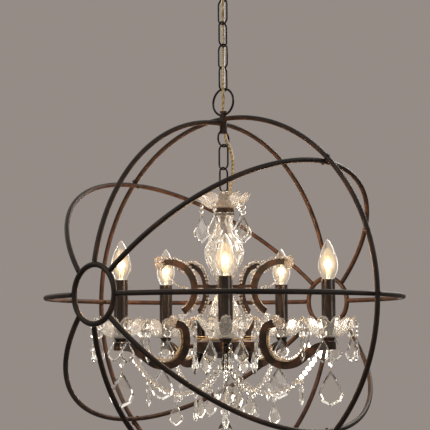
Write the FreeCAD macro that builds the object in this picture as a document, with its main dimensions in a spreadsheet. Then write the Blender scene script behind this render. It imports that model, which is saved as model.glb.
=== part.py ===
import FreeCAD, Part
import math
import os
import Sketcher

# An orb chandelier: an iron cage of hoops on a chain, with a five-light crystal chandelier inside it.
# Millimetres. The origin is the middle of the canopy's ceiling face and +Z is up. The cage's side rings are on X.

os.makedirs("parts", exist_ok=True)
doc = FreeCAD.newDocument("orb_chandelier")
sheet = doc.addObject("Spreadsheet::Sheet", "Sizes")

SIZES = [
    # ceiling end
    ("canopy_radius", 64, "outside radius of the canopy's rim"),
    ("canopy_height", 34, "rim to bottom of the canopy"),
    ("canopy_wall", 1.2, "canopy sheet"),
    ("canopy_flat_radius", 16, "flat bottom of the canopy"),
    ("crossbar_end_wall", 5.55, "steel past the end of a screw slot"),
    ("crossbar_width", 18, ""),
    ("crossbar_plate", 2.5, ""),
    ("box_screw_spacing", 88.9, "screws of a round ceiling box"),
    ("box_slot_width", 4.6, ""),
    ("box_slot_length", 12, "end to end"),
    ("nipple_diameter", 10, ""),
    ("nipple_bore", 7, ""),
    ("lock_nut_across", 15, ""),
    ("lock_nut_height", 4, ""),
    ("thread_gap", 0.1, "between a screw and its thread's wall"),
    ("slip_gap", 0.3, "between pieces that only pass each other"),
    ("loop_collar_diameter", 20, ""),
    ("loop_collar_height", 14, ""),
    ("loop_wire", 5, ""),
    ("loop_radius", 12.5, "centreline of the canopy's loop"),
    ("loop_drop", 8, "loop's middle under its collar"),
    # chains and rings
    ("link_length", 41.8, "inside length of a link"),
    ("link_width", 23.5, "outside width of a link"),
    ("link_wire", 3.2, ""),
    ("link_play", 0.35, "gap where one link hangs on another"),
    ("upper_links", 5, "count"),
    ("lower_links", 2, "count"),
    ("orb_ring_diameter", 52, "outside"),
    ("orb_ring_wire", 4.1, ""),
    ("inner_ring_diameter", 32, "outside"),
    ("inner_ring_wire", 3.4, ""),
    # stem
    ("stem_diameter", 13.4, ""),
    ("stem_neck_diameter", 10, ""),
    ("stem_flange_diameter", 13.4, ""),
    ("stem_flange_height", 2.6, ""),
    ("ring_hole_lift", 6.9, "ring's hole over the cross ring's rod centre"),
    ("ring_hole_wall", 3.9, "iron over the ring's hole"),
    ("inner_hole_drop", 12.5, "inner ring's hole under the rods"),
    ("inner_hole_wall", 4.9, "iron under the inner ring's hole"),
    # cage
    ("orb_radius", 321, "centreline of the cross ring, the outermost hoop"),
    ("cage_rod", 8.5, "round bar of the cage"),
    ("hoop_gap", 0.7, "between the cross ring and the rods inside it"),
    ("weld_gap", 0.3, "seam at a welded end"),
    ("side_ring_radius", 46.3, "centreline of a side ring"),
    ("side_ring_rod", 9, ""),
    ("rivet_diameter", 4, ""),
    ("rivet_head_diameter", 7, ""),
    ("rivet_head_height", 1.8, ""),
    ("bolt_diameter", 5, ""),
    ("bolt_head_diameter", 9, ""),
    ("bolt_head_height", 3.5, ""),
    ("cap_nut_diameter", 12, ""),
    ("cap_nut_height", 11, ""),
    # cords
    ("cord_diameter", 5.5, ""),
    ("cord_gap", 0.5, "end of the inner cord to the iron it enters"),
    # the inner chandelier, from its eye down
    ("front_arm_turn", 41.8, "front arm, in degrees past -X towards -Y"),
    ("top_dish_turn", 25, "top dish's pendants, in degrees before the arms"),
    ("arm_count", 5, "count"),
    ("eye_diameter", 13, "outside"),
    ("eye_wire", 3, ""),
    ("eye_collar_diameter", 12, ""),
    ("eye_collar_height", 12, ""),
    ("cap_diameter", 34, ""),
    ("cap_flat_diameter", 27, ""),
    ("cap_height", 10, ""),
    ("dish_radius", 50, "rim of the top dish"),
    ("dish_height", 27, ""),
    ("dish_foot_radius", 17, ""),
    ("glass_wall", 3, ""),
    ("disc_diameter", 36, ""),
    ("disc_height", 7, ""),
    ("center_stem_diameter", 10, ""),
    ("center_stem_bore", 7, ""),
    ("vase_top_radius", 19, ""),
    ("vase_waist_radius", 13, ""),
    ("vase_belly_radius", 37, ""),
    ("vase_belly_share", 0.42, "belly's height as a share of the vase"),
    ("vase_foot_radius", 15, ""),
    ("upper_vase_height", 128, ""),
    ("spider_height", 5, ""),
    ("spider_ring_radius", 18, ""),
    ("spoke_width", 7, ""),
    ("lower_vase_height", 84, ""),
    ("lower_belly_radius", 31, ""),
    ("lower_foot_radius", 26, ""),
    ("hub_radius", 54, ""),
    ("hub_top_radius", 22, ""),
    ("hub_dome_height", 11, ""),
    ("hub_skirt_height", 14, ""),
    ("hub_wall", 2, ""),
    ("cover_radius", 34, ""),
    ("cover_depth", 14, ""),
    ("finial_diameter", 14, ""),
    ("finial_height", 16, ""),
    ("finial_ring_diameter", 11, "outside"),
    ("finial_ring_wire", 2.2, ""),
    ("ball_diameter", 40, ""),
    ("ball_wire_drop", 18, "straight pin under the hanger ring"),
    ("ball_wire", 2, ""),
    # arms and candles
    ("candle_circle", 187, "candles from the axis"),
    ("arm_depth", 14, "side of the arm's channel that shows"),
    ("arm_thickness", 8, ""),
    ("channel_wall", 1.6, ""),
    ("channel_groove", 4.6, ""),
    ("wire_diameter", 3, ""),
    ("arm_standoff", 10.5, "hub's skirt to the arm, bridged by the arm's stud"),
    ("arm_stud_diameter", 7, ""),
    ("arm_stud_drop", 7, "arm's stud under the hub's rim"),
    ("arm_tip_reach", 20, "free tip, out from the hub side of the arm"),
    ("arm_tip_rise", 33, "free tip, over the hub's rim"),
    ("arm_trough", 39, "lowest bend, under the hub's rim"),
    ("arm_end_drop", 6, "candle end, under the hub's rim"),
    ("scroll_depth", 10.5, ""),
    ("scroll_thickness", 6, ""),
    ("scroll_radius", 47, "centreline of the scroll's arc"),
    ("scroll_back_radius", 55, "middle of the scroll's back from the axis"),
    ("scroll_drop", 5, "middle of the scroll's arc under the spokes"),
    ("scroll_tip_angle", 76, "where the arc begins, in degrees over the outward level"),
    ("scroll_sweep", 160, "degrees of arc, over the top and down the back"),
    ("pan_diameter", 22, ""),
    ("pan_height", 6, ""),
    ("stud_diameter", 8, ""),
    ("bobeche_radius", 48, ""),
    ("bobeche_height", 36, ""),
    ("bobeche_foot_radius", 13, ""),
    ("petal_count", 10, "count"),
    ("petal_notch_radius", 8, ""),
    ("sleeve_diameter", 24, ""),
    ("sleeve_foot_diameter", 17, ""),
    ("sleeve_wall", 1.4, ""),
    ("sleeve_height", 96.5, ""),
    ("sleeve_taper_height", 21, ""),
    ("holder_diameter", 17.5, ""),
    ("holder_height", 34, ""),
    ("holder_drop", 2, "holder's mouth under the sleeve's top"),
    ("bulb_cap_diameter", 12, ""),
    ("bulb_cap_height", 17, ""),
    ("bulb_flange_height", 1.6, "shoulder of the screw cap"),
    ("bulb_neck_diameter", 20, ""),
    ("bulb_diameter", 35, ""),
    ("bulb_height", 69, "glass over the sleeve"),
    ("bulb_wall", 0.8, ""),
    # crystals
    ("crystal_play", 0.5, "gap at a crystal's wire pin"),
    ("strand_turn", 47, "degrees from one hanging strand to the next"),
    ("kite_width", 31, ""),
    ("kite_height", 52, ""),
    ("kite_thickness", 9, ""),
    ("small_kite_width", 25, ""),
    ("small_kite_height", 42, ""),
    ("octagon_width", 14, ""),
    ("octagon_thickness", 7, ""),
    ("oval_width", 7, ""),
    ("oval_height", 11, ""),
    ("prism_width", 9, ""),
    ("prism_length", 36, ""),
    ("pear_width", 44, ""),
    ("pear_height", 62, ""),
    ("pear_thickness", 12, ""),
    ("bead_width", 9, "strung octagon bead"),
    ("bead_thickness", 5, ""),
    ("small_bead", 5.5, "bead on the inside of an arm's bend"),
    ("small_bead_pitch", 6.4, ""),
    ("swag_sag", 60, ""),
    ("rosette_diameter", 20, ""),
    ("rosette_thickness", 9, ""),
    ("pan_crystals", 6, "count per bobeche"),
]
for row, (alias, value, note) in enumerate(SIZES, 1):
    sheet.set("A%d" % row, note)
    sheet.set("B%d" % row, str(value))
    sheet.setAlias("B%d" % row, alias)
doc.recompute()


class Size:
    """A length that knows its value and the sheet expression that gives it."""

    def __init__(self, value, text):
        self.value = float(value)
        self.text = text

    def _join(self, sign, other, value):
        other_text = other.text if isinstance(other, Size) else repr(other)
        return Size(value, "(%s %s %s)" % (self.text, sign, other_text))

    def __add__(self, other):
        return self._join("+", other, self.value + float(other))

    def __sub__(self, other):
        return self._join("-", other, self.value - float(other))

    def __mul__(self, factor):
        return self._join("*", factor, self.value * float(factor))

    def __truediv__(self, factor):
        return self._join("/", factor, self.value / float(factor))

    def __neg__(self):
        return Size(-self.value, "(0 - %s)" % self.text)

    def __float__(self):
        return self.value


def size(alias):
    return Size(sheet.get(alias), "Sizes.%s" % alias)


def bind(obj, prop, length):
    """Set a property and tie it to the sheet."""
    obj.setExpression(prop, length.text)


Vec = FreeCAD.Vector
X_AXIS, Y_AXIS, Z_AXIS = Vec(1, 0, 0), Vec(0, 1, 0), Vec(0, 0, 1)
ZERO = size("cage_rod") * 0


def place(x=0.0, y=0.0, z=0.0, axis=Z_AXIS, angle=0.0):
    return FreeCAD.Placement(Vec(float(x), float(y), float(z)), FreeCAD.Rotation(axis, angle))


# ---------------------------------------------------------------- building blocks

def turned(label, profile, placement=place()):
    """A PartDesign body turned about its Z axis. profile lists (radius, height) corners."""
    body = doc.addObject("PartDesign::Body", label)
    body.Label = label
    plane = [o for o in body.Origin.OriginFeatures if o.Role == "XZ_Plane"][0]
    sketch = body.newObject("Sketcher::SketchObject", label + "_profile")
    sketch.AttachmentSupport = [(plane, "")]
    sketch.MapMode = "FlatFace"
    points = [Vec(float(r), float(h), 0) for r, h in profile]
    for i, start in enumerate(points):
        sketch.addGeometry(Part.LineSegment(start, points[(i + 1) % len(points)]), False)
    for i in range(len(points)):
        sketch.addConstraint(Sketcher.Constraint("Coincident", i, 2, (i + 1) % len(points), 1))
    for i, (radius, height) in enumerate(profile):
        for kind, axis_id, value in (("DistanceX", -2, radius), ("DistanceY", -1, height)):
            if abs(float(value)) < 1e-9:
                sketch.addConstraint(Sketcher.Constraint("PointOnObject", i, 1, axis_id))
                continue
            sketch.addConstraint(Sketcher.Constraint(kind, -1, 1, i, 1, float(value)))
            name = "%s_%d" % ("radius" if kind == "DistanceX" else "height", i)
            sketch.renameConstraint(sketch.ConstraintCount - 1, name)
            sketch.setExpression("Constraints." + name, value.text)
    turn = body.newObject("PartDesign::Revolution", label + "_turn")
    turn.Profile = sketch
    turn.ReferenceAxis = (sketch, ["V_Axis"])
    turn.Angle = 360
    sketch.Visibility = False
    body.Tip = turn
    body.Placement = placement
    return body


def rod(label, diameter, length, placement=place()):
    """A Part cylinder along its own Z axis."""
    cylinder = doc.addObject("Part::Cylinder", label)
    bind(cylinder, "Radius", diameter / 2)
    bind(cylinder, "Height", length)
    cylinder.Placement = placement
    return cylinder


def hoop(label, radius, wire, placement=place(), sweep=360.0):
    """A Part torus about its own Z axis, from its own +X axis through sweep degrees."""
    torus = doc.addObject("Part::Torus", label)
    bind(torus, "Radius1", radius)
    bind(torus, "Radius2", wire / 2)
    torus.Angle3 = sweep
    torus.Placement = placement
    return torus


def fused(label, pieces):
    joined = doc.addObject("Part::MultiFuse", label)
    joined.Shapes = pieces
    return joined


def cut(label, base, tool):
    result = doc.addObject("Part::Cut", label)
    result.Base = base
    result.Tool = tool
    return result


def solid_feature(label, shape, placement=place()):
    """A feature whose shape comes from Part's functions; the placement is set after the shape."""
    feature = doc.addObject("Part::Feature", label)
    feature.Shape = shape
    feature.Placement = placement
    return feature


def polar(radius, angle, height=0.0):
    """A point from its distance to the axis, its bearing in degrees and its height."""
    turn = math.radians(angle)
    return Vec(float(radius) * math.cos(turn), float(radius) * math.sin(turn), float(height))


def copies(label, shape, placements):
    """One node that holds the same solid at several places."""
    return solid_feature(label, Part.makeCompound([placed(shape, p) for p in placements]))


def placed(shape, placement):
    moved = shape.copy()
    moved.Placement = placement.multiply(moved.Placement)
    return moved


def rounded_route(points):
    """Straight runs joined by tangent arcs, each as large as its two runs allow. Returns edges and radii."""
    edges, radii = [], []
    last = points[0]
    for before, corner, after in zip(points, points[1:], points[2:]):
        inward, outward = corner - before, after - corner
        turn = inward.getAngle(outward)
        cut_back = 0.45 * min(inward.Length, outward.Length)
        radii.append(cut_back / math.tan(turn / 2))
        inward.normalize()
        outward.normalize()
        start, end = corner - inward * cut_back, corner + outward * cut_back
        bisector = (outward - inward).normalize()
        middle = corner + bisector * (radii[-1] / math.cos(turn / 2) - radii[-1])
        edges.append(Part.LineSegment(last, start).toShape())
        edges.append(Part.Arc(start, middle, end).toShape())
        last = end
    edges.append(Part.LineSegment(last, points[-1]).toShape())
    return edges, radii


def tube_along(points, diameter):
    """A round tube along a rounded route, with its length and its radii."""
    edges, radii = rounded_route(points)
    spine = Part.Wire(edges)
    circle = Part.makeCircle(float(diameter) / 2, points[0], points[1] - points[0])
    shell = Part.BRepOffsetAPI.MakePipeShell(spine)
    shell.add(Part.Wire(circle))
    shell.build()
    shell.makeSolid()
    return shell.shape(), spine.Length, radii


def beside(edge, share, offset):
    """A point of an edge in the XZ plane, moved sideways; share runs from 0 to 1 along it."""
    at = edge.FirstParameter + (edge.LastParameter - edge.FirstParameter) * share
    tangent = edge.tangentAt(at)
    return edge.valueAt(at) + Vec(-tangent.z, 0, tangent.x) * offset


def strip_along(points, inner, outer, thickness):
    """A flat bar bent in the XZ plane: the band from inner to outer beside its centre route, thick along Y."""
    edges = rounded_route(points)[0]
    sides = []
    for offset in (inner, outer):
        side = []
        for number, edge in enumerate(edges):
            start, end = beside(edge, 0, offset), beside(edge, 1, offset)
            if number % 2:
                side.append(Part.Arc(start, beside(edge, 0.5, offset), end).toShape())
            else:
                side.append(Part.LineSegment(start, end).toShape())
        sides.append(side)
    first = [side[0].valueAt(side[0].FirstParameter) for side in sides]
    last = [side[-1].valueAt(side[-1].LastParameter) for side in sides]
    ends = [Part.LineSegment(first[0], first[1]).toShape(), Part.LineSegment(last[0], last[1]).toShape()]
    outline = Part.Wire(Part.__sortEdges__(sides[0] + sides[1] + ends))
    bar = Part.Face(outline).extrude(Vec(0, thickness, 0))
    bar.translate(Vec(0, -thickness / 2, 0))
    return bar


def chain_link():
    """An oval link in the XZ plane, hanging down from the inside of its top bend, which is at the origin."""
    wire, inside, width = (float(size(a)) for a in ("link_wire", "link_length", "link_width"))
    bend = (width - wire) / 2
    top = wire / 2 - bend
    bottom = -inside - wire / 2 + bend
    sides = [Part.makeCylinder(wire / 2, top - bottom, Vec(x, 0, bottom)) for x in (-bend, bend)]
    half_ring = Part.makeTorus(bend, wire / 2, Vec(), Z_AXIS, 0, 360, 180)
    upper = placed(half_ring, place(z=top, axis=X_AXIS, angle=90))
    lower = placed(half_ring, place(z=bottom, axis=X_AXIS, angle=-90))
    return sides[0].multiFuse([sides[1], upper, lower]).removeSplitter()


# ---------------------------------------------------------------- heights

screw, slip, weld = size("thread_gap"), size("slip_gap"), size("weld_gap")
cage_rod, link_wire, play = size("cage_rod"), size("link_wire"), size("link_play")
link_pitch = size("link_length") - play
loop_z = -(size("canopy_height") + size("loop_collar_height") + size("loop_drop"))
loop_inside_z = loop_z - size("loop_radius") + size("loop_wire") / 2
top_link_z = loop_inside_z + play
orb_ring_inside_z = top_link_z - link_pitch * float(size("upper_links"))
orb_ring_radius = (size("orb_ring_diameter") - size("orb_ring_wire")) / 2
orb_ring_z = orb_ring_inside_z - (orb_ring_radius - size("orb_ring_wire") / 2)
ring_hole_z = orb_ring_z - orb_ring_radius
orb_z = ring_hole_z - size("ring_hole_lift") - size("orb_radius")
rod_radius = size("orb_radius") - cage_rod - size("hoop_gap")
inner_hole_z = orb_z + rod_radius - size("inner_hole_drop")
inner_ring_radius = (size("inner_ring_diameter") - size("inner_ring_wire")) / 2
inner_ring_z = inner_hole_z - inner_ring_radius
inner_link_z = inner_ring_z - inner_ring_radius + size("inner_ring_wire") / 2 + play
eye_radius = (size("eye_diameter") - size("eye_wire")) / 2
eye_inside_z = inner_link_z - link_pitch * float(size("lower_links"))
eye_z = eye_inside_z - eye_radius + size("eye_wire") / 2

# ---------------------------------------------------------------- ceiling end


def ceiling_crossbar():
    bar = doc.addObject("Part::Box", "crossbar_blank")
    length = size("box_screw_spacing") + size("box_slot_length") + size("crossbar_end_wall") * 2
    for prop, expression in (("Length", length), ("Width", size("crossbar_width")), ("Height", size("crossbar_plate"))):
        bind(bar, prop, expression)
    bar.Placement = place(-length / 2, -size("crossbar_width") / 2, -size("crossbar_plate"))
    below = size("crossbar_plate") * 2
    holes = [rod("crossbar_center_hole", size("nipple_diameter") + screw * 2, below * 2, place(z=-below))]
    for side in (-1, 1):
        middle = size("box_screw_spacing") / 2 * side
        reach = (size("box_slot_length") - size("box_slot_width")) / 2
        slot = doc.addObject("Part::Box", "crossbar_slot")
        bind(slot, "Length", reach * 2)
        bind(slot, "Width", size("box_slot_width"))
        bind(slot, "Height", below * 2)
        slot.Placement = place(middle - reach, -size("box_slot_width") / 2, -below)
        holes.append(slot)
        for end in (-1, 1):
            holes.append(rod("slot_end", size("box_slot_width"), below * 2,
                             place(middle + reach * end, 0, -below)))
    return cut("ceiling_crossbar", bar, fused("crossbar_holes", holes))


def canopy_nipple():
    """The hollow threaded tube from the crossbar to the loop's collar, and its hexagonal lock nut."""
    length = float(size("canopy_height") + size("loop_collar_height") * 0.7)
    tube = Part.makeCylinder(float(size("nipple_diameter")) / 2, length, Vec(0, 0, -length))
    bore = Part.makeCylinder(float(size("nipple_bore")) / 2, length, Vec(0, 0, -length))
    corner = float(size("lock_nut_across")) / math.sqrt(3)
    hexagon = Part.makePolygon([polar(corner, 60 * i) for i in range(7)])
    nut = Part.Face(hexagon).extrude(Vec(0, 0, float(size("lock_nut_height"))))
    nut = nut.cut(Part.makeCylinder(float(size("nipple_diameter") / 2 + screw), float(size("lock_nut_height"))))
    nut_z = -float(size("crossbar_plate") + size("lock_nut_height"))
    return solid_feature("canopy_nipple", Part.makeCompound([tube.cut(bore), placed(nut, place(z=nut_z))]))


def ceiling_canopy():
    """A spun dome: a flat bottom, a sloping shoulder and a straight rim."""
    rim, height, wall = size("canopy_radius"), size("canopy_height"), size("canopy_wall")
    flat = size("canopy_flat_radius")
    hole = size("nipple_diameter") / 2 + slip
    shoulder, lip = (rim - flat) * 0.62 + flat, height * 0.3
    outside = [(hole, -height), (flat, -height), (shoulder, -height * 0.78), (rim, -lip), (rim, ZERO)]
    inside = [(rim - wall, ZERO), (rim - wall, -lip + wall / 2), (shoulder - wall / 2, -height * 0.78 + wall),
              (flat, -height + wall), (hole, -height + wall)]
    return turned("ceiling_canopy", outside + inside)


def canopy_loop():
    """A collar screwed on the nipple, with a round loop fused under it and a bore for the cord."""
    height = size("loop_collar_height")
    collar_z = -(size("canopy_height") + height)
    collar = rod("loop_collar", size("loop_collar_diameter"), height, place(z=collar_z))
    ring = hoop("loop_ring", size("loop_radius"), size("loop_wire"), place(z=loop_z, axis=Y_AXIS, angle=90))
    thread = rod("loop_thread", size("nipple_diameter") + screw * 2, height * 0.75,
                 place(z=-size("canopy_height") - height * 0.75))
    passage = rod("loop_passage", size("nipple_bore"), height * 2, place(z=collar_z - height * 0.5))
    return cut("canopy_loop", fused("loop_blank", [collar, ring]), fused("loop_bores", [thread, passage]))


# ---------------------------------------------------------------- chains, rings and cords


def link_placement(top_z, number):
    """Links turn a quarter from one to the next; the first is in the XZ plane."""
    return place(z=float(top_z) - number * float(link_pitch), angle=90 * (number % 2))


def chains():
    link = chain_link()
    upper = int(float(size("upper_links")))
    lower = int(float(size("lower_links")))
    solid_feature("chain_top_link", link, link_placement(top_link_z, 0))
    copies("upper_chain", link, [link_placement(top_link_z, i) for i in range(1, upper)])
    copies("inner_chain", link, [place(z=-i * float(link_pitch) + float(inner_link_z), angle=90 * ((i + 1) % 2))
                                 for i in range(lower)])


def round_rings():
    hoop("orb_ring", orb_ring_radius, size("orb_ring_wire"), place(z=orb_ring_z, axis=Y_AXIS, angle=90))
    hoop("inner_ring", inner_ring_radius, size("inner_ring_wire"), place(z=inner_ring_z, axis=X_AXIS, angle=90))


# Where the cord passes each crossing of two links: in front of it or behind it.
CORD_FRONT = (-7.5, -6.5)
CORD_BACK = (9.5, 7.0)
stem_top_z = ring_hole_z + size("ring_hole_wall") + size("stem_flange_height")
stem_bottom_z = inner_hole_z - size("inner_hole_wall")
cap_top_z = eye_z - eye_radius - size("eye_collar_height") + size("eye_wire") / 2


def lamp_cord_upper():
    crossing = [float(top_link_z - link_wire / 2 - link_pitch * i) for i in range(6)]
    points = [
        Vec(0, 0, -30),
        Vec(0, 0, -50.5),
        Vec(*CORD_FRONT, crossing[0]),
        Vec(*CORD_FRONT, crossing[1]),
        Vec(*CORD_BACK, crossing[2]),
        Vec(*CORD_BACK, crossing[3]),
        Vec(*CORD_FRONT, crossing[4]),
        Vec(*CORD_FRONT, crossing[5]),
        Vec(0, 0, crossing[5] - 23),
        Vec(0, 0, float(stem_top_z)),
    ]
    return cord("lamp_cord_upper", points)


def lamp_cord_inner():
    top, bottom = float(stem_bottom_z - size("cord_gap")), float(cap_top_z + size("cord_gap"))
    points = [
        Vec(2.4, -3.0, top),
        Vec(2.4, -3.0, top - 11),
        Vec(8.7, -9.8, top - 29),
        Vec(11.6, -12.9, top - 52),
        Vec(10.6, -11.8, top - 77),
        Vec(7.6, -8.4, top - 98),
        Vec(6.5, -7.3, top - 111),
        Vec(6.5, -7.3, bottom),
    ]
    return cord("lamp_cord_inner", points)


def cord(label, points):
    shape, length, radii = tube_along(points, size("cord_diameter"))
    section = math.pi * float(size("cord_diameter")) ** 2 / 4
    print("%s: %.1f mm long, radii %s, volume against section times length %.4f"
          % (label, length, " ".join("%.0f" % r for r in radii), shape.Volume / (section * length)))
    return solid_feature(label, shape)


# ---------------------------------------------------------------- cage


def top_stem():
    """The turned post: flange, neck with the ring's hole, and the body that the hoops are welded to."""
    body_radius = size("stem_diameter") / 2
    body_top = orb_z + size("orb_radius") + cage_rod / 2
    corners = [(ZERO, stem_bottom_z), (body_radius, stem_bottom_z), (body_radius, body_top),
               (size("stem_neck_diameter") / 2, body_top),
               (size("stem_neck_diameter") / 2, stem_top_z - size("stem_flange_height")),
               (size("stem_flange_diameter") / 2, stem_top_z), (ZERO, stem_top_z)]
    post = turned("stem_post", corners)
    ring_hole = hoop("stem_ring_hole", orb_ring_radius, size("orb_ring_wire") + slip * 2,
                     place(z=orb_ring_z, axis=Y_AXIS, angle=90))
    inner_hole = hoop("stem_inner_hole", inner_ring_radius, size("inner_ring_wire") + slip * 2,
                      place(z=inner_ring_z, axis=X_AXIS, angle=90))
    return cut("top_stem", post, fused("stem_holes", [ring_hole, inner_hole]))


def radial(angle, distance):
    """A placement in the cage's middle plane: own +Z points outwards from the cage's centre at a bearing."""
    outward = Vec(0, math.cos(math.radians(angle)), math.sin(math.radians(angle)))
    base = outward * float(distance) + Vec(0, 0, float(orb_z))
    return FreeCAD.Placement(base, FreeCAD.Rotation(Z_AXIS, outward))


RIVETED = {"back": 0, "upper_back": 45, "upper_front": 135, "front": 180, "lower_front": 225, "lower_back": 315}
BOTTOM = 270


def pin_hole(name, angle, diameter, from_radius, to_radius):
    return rod(name, diameter + slip, to_radius - from_radius, radial(angle, from_radius))


def cage_bar(label, angle, start, sweep):
    """A bent rod in the plane through X at a bearing: start and sweep in degrees from +X."""
    tilt = FreeCAD.Rotation(X_AXIS, angle)
    turn = FreeCAD.Rotation(Z_AXIS, start)
    placement = FreeCAD.Placement(Vec(0, 0, float(orb_z)), tilt.multiply(turn))
    return hoop(label, rod_radius, cage_rod, placement, sweep)


def cage():
    inside, outside = rod_radius - cage_rod, size("orb_radius") + cage_rod
    side_ring_angle = math.asin(float(size("side_ring_radius")) / float(rod_radius))
    seam = float(size("side_ring_rod") / 2 + weld) / float(rod_radius)
    start = math.degrees(side_ring_angle + seam)
    stem_half = math.degrees(float(size("stem_diameter") / 2 + weld) / float(rod_radius))
    for name, angle in RIVETED.items():
        bar = cage_bar(name + "_bar", angle, start, 180 - 2 * start)
        cut("rod_" + name, bar, pin_hole(name + "_hole", angle, size("rivet_diameter"), inside, outside))
    bottom = cage_bar("bottom_bar", BOTTOM, start, 180 - 2 * start)
    cut("rod_bottom", bottom, pin_hole("bottom_hole", BOTTOM, size("bolt_diameter"), inside, outside))
    cage_bar("rod_top_right", 90, start, 90 - start - stem_half)
    cage_bar("rod_top_left", 90, 90 + stem_half, 90 - start - stem_half)
    side_x = math.cos(side_ring_angle) * float(rod_radius)
    for name, x in (("left", -side_x), ("right", side_x)):
        hoop("hub_ring_" + name, size("side_ring_radius"), size("side_ring_rod"),
             place(x=x, z=orb_z, axis=Y_AXIS, angle=90))
    whole = hoop("cross_hoop", size("orb_radius"), cage_rod, place(z=orb_z, axis=Y_AXIS, angle=90))
    holes = [pin_hole("ring_hole_" + name, angle, size("rivet_diameter"), inside, outside)
             for name, angle in RIVETED.items()]
    holes.append(pin_hole("ring_hole_bottom", BOTTOM, size("bolt_diameter"), inside, outside))
    holes.append(rod("ring_gap_stem", size("stem_diameter") + weld * 2, cage_rod * 3,
                     place(z=orb_z + size("orb_radius") - cage_rod * 1.5)))
    cut("cross_ring", whole, fused("cross_ring_holes", holes))


def headed_pin(label, shank, head, head_height, low, high, tip_height=None):
    """A shank from low to high with a low domed head at both ends."""
    tip_height = tip_height or head_height
    half_shank, half_head = shank / 2, head / 2
    return turned(label, [
        (ZERO, low - head_height), (half_head * 0.6, low - head_height), (half_head, low - head_height * 0.35),
        (half_head, low), (half_shank, low), (half_shank, high), (half_head, high),
        (half_head, high + tip_height * 0.35), (half_head * 0.6, high + tip_height), (ZERO, high + tip_height)])


def cage_pins():
    low = rod_radius - cage_rod / 2 - screw
    high = size("orb_radius") + cage_rod / 2 + screw
    rivet = headed_pin("rivet_pattern", size("rivet_diameter"), size("rivet_head_diameter"),
                       size("rivet_head_height"), low, high)
    bolt = headed_pin("bottom_bolt_pattern", size("bolt_diameter"), size("bolt_head_diameter"),
                      size("bolt_head_height"), low, high, size("cap_nut_height"))
    doc.recompute()
    copies("ring_rivets", rivet.Shape, [radial(angle, 0) for angle in RIVETED.values()])
    copies("bottom_bolt", bolt.Shape, [radial(BOTTOM, 0)])


# ---------------------------------------------------------------- inner chandelier: the middle column

cap_bottom_z = cap_top_z - size("cap_height")
dish_z = cap_bottom_z - size("glass_wall")
disc_z = dish_z - size("disc_height")
spider_top_z = disc_z - size("upper_vase_height")
spider_z = spider_top_z - size("spider_height")
hub_top_z = spider_z - size("lower_vase_height")
rim_z = hub_top_z - size("hub_dome_height")
skirt_z = rim_z - size("hub_skirt_height")
cover_z = skirt_z - size("cover_depth")
finial_z = cover_z - size("finial_height")
bore = size("center_stem_diameter") / 2 + slip


def lifted(profile, height):
    return [(radius, z + height) for radius, z in profile]


def column():
    """Everything threaded on the middle tube, from the eye down to the finial."""
    ring = hoop("eye_ring", eye_radius, size("eye_wire"), place(z=eye_z, axis=Y_AXIS, angle=-90))
    collar = rod("eye_collar", size("eye_collar_diameter"), size("eye_collar_height"), place(z=cap_top_z))
    thread = rod("eye_thread", size("center_stem_diameter") + screw * 2, size("eye_collar_height") * 0.5,
                 place(z=cap_top_z))
    cut("chandelier_eye", fused("eye_blank", [ring, collar]), thread)

    flat, edge = size("cap_flat_diameter") / 2, size("cap_diameter") / 2
    turned("top_cap", [(bore, cap_bottom_z), (edge, cap_bottom_z),
                       (edge, cap_bottom_z + size("cap_height") * 0.4), (flat, cap_top_z), (bore, cap_top_z)])
    disc = size("disc_diameter") / 2
    turned("collar_disc", [(bore, disc_z), (disc, disc_z), (disc, dish_z), (bore, dish_z)])
    tube_top = cap_top_z + size("eye_collar_height") * 0.45
    tube_bottom = finial_z + size("finial_height") * 0.5
    outer, inner = size("center_stem_diameter") / 2, size("center_stem_bore") / 2
    turned("center_stem", [(inner, tube_bottom), (outer, tube_bottom), (outer, tube_top), (inner, tube_top)])


def vases():
    wall = size("glass_wall")
    top, waist, belly = size("vase_top_radius"), size("vase_waist_radius"), size("vase_belly_radius")
    foot, tall = size("vase_foot_radius"), size("upper_vase_height")
    middle = float(size("vase_belly_share"))
    outside = [(foot, ZERO), (foot, tall * 0.05), (belly * 0.75, tall * (middle - 0.2)), (belly, tall * middle),
               (belly * 0.92, tall * (middle + 0.12)), (top * 1.1, tall * (middle + 0.33)),
               (waist + wall, tall * (middle + 0.45)), (top, tall * 0.95), (top, tall)]
    inside = [(radius - wall, z) for radius, z in reversed(outside[2:-2])]
    profile = [(bore, ZERO)] + outside + [(bore, tall), (bore, tall - wall)] + inside + [(bore, wall)]
    turned("upper_vase", lifted(profile, spider_top_z))
    tall, belly, foot = size("lower_vase_height"), size("lower_belly_radius"), size("lower_foot_radius")
    outside = [(foot, ZERO), (foot, tall * 0.06), (foot * 0.8, tall * 0.16), (belly, tall * 0.4),
               (belly * 0.85, tall * 0.6), (waist + wall, tall * 0.85), (top * 0.9, tall * 0.94),
               (top * 0.9, tall)]
    inside = [(radius - wall, z) for radius, z in reversed(outside[2:-2])]
    profile = [(bore, ZERO)] + outside + [(bore, tall), (bore, tall - wall)] + inside + [(bore, wall)]
    turned("lower_vase", lifted(profile, hub_top_z))


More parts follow.
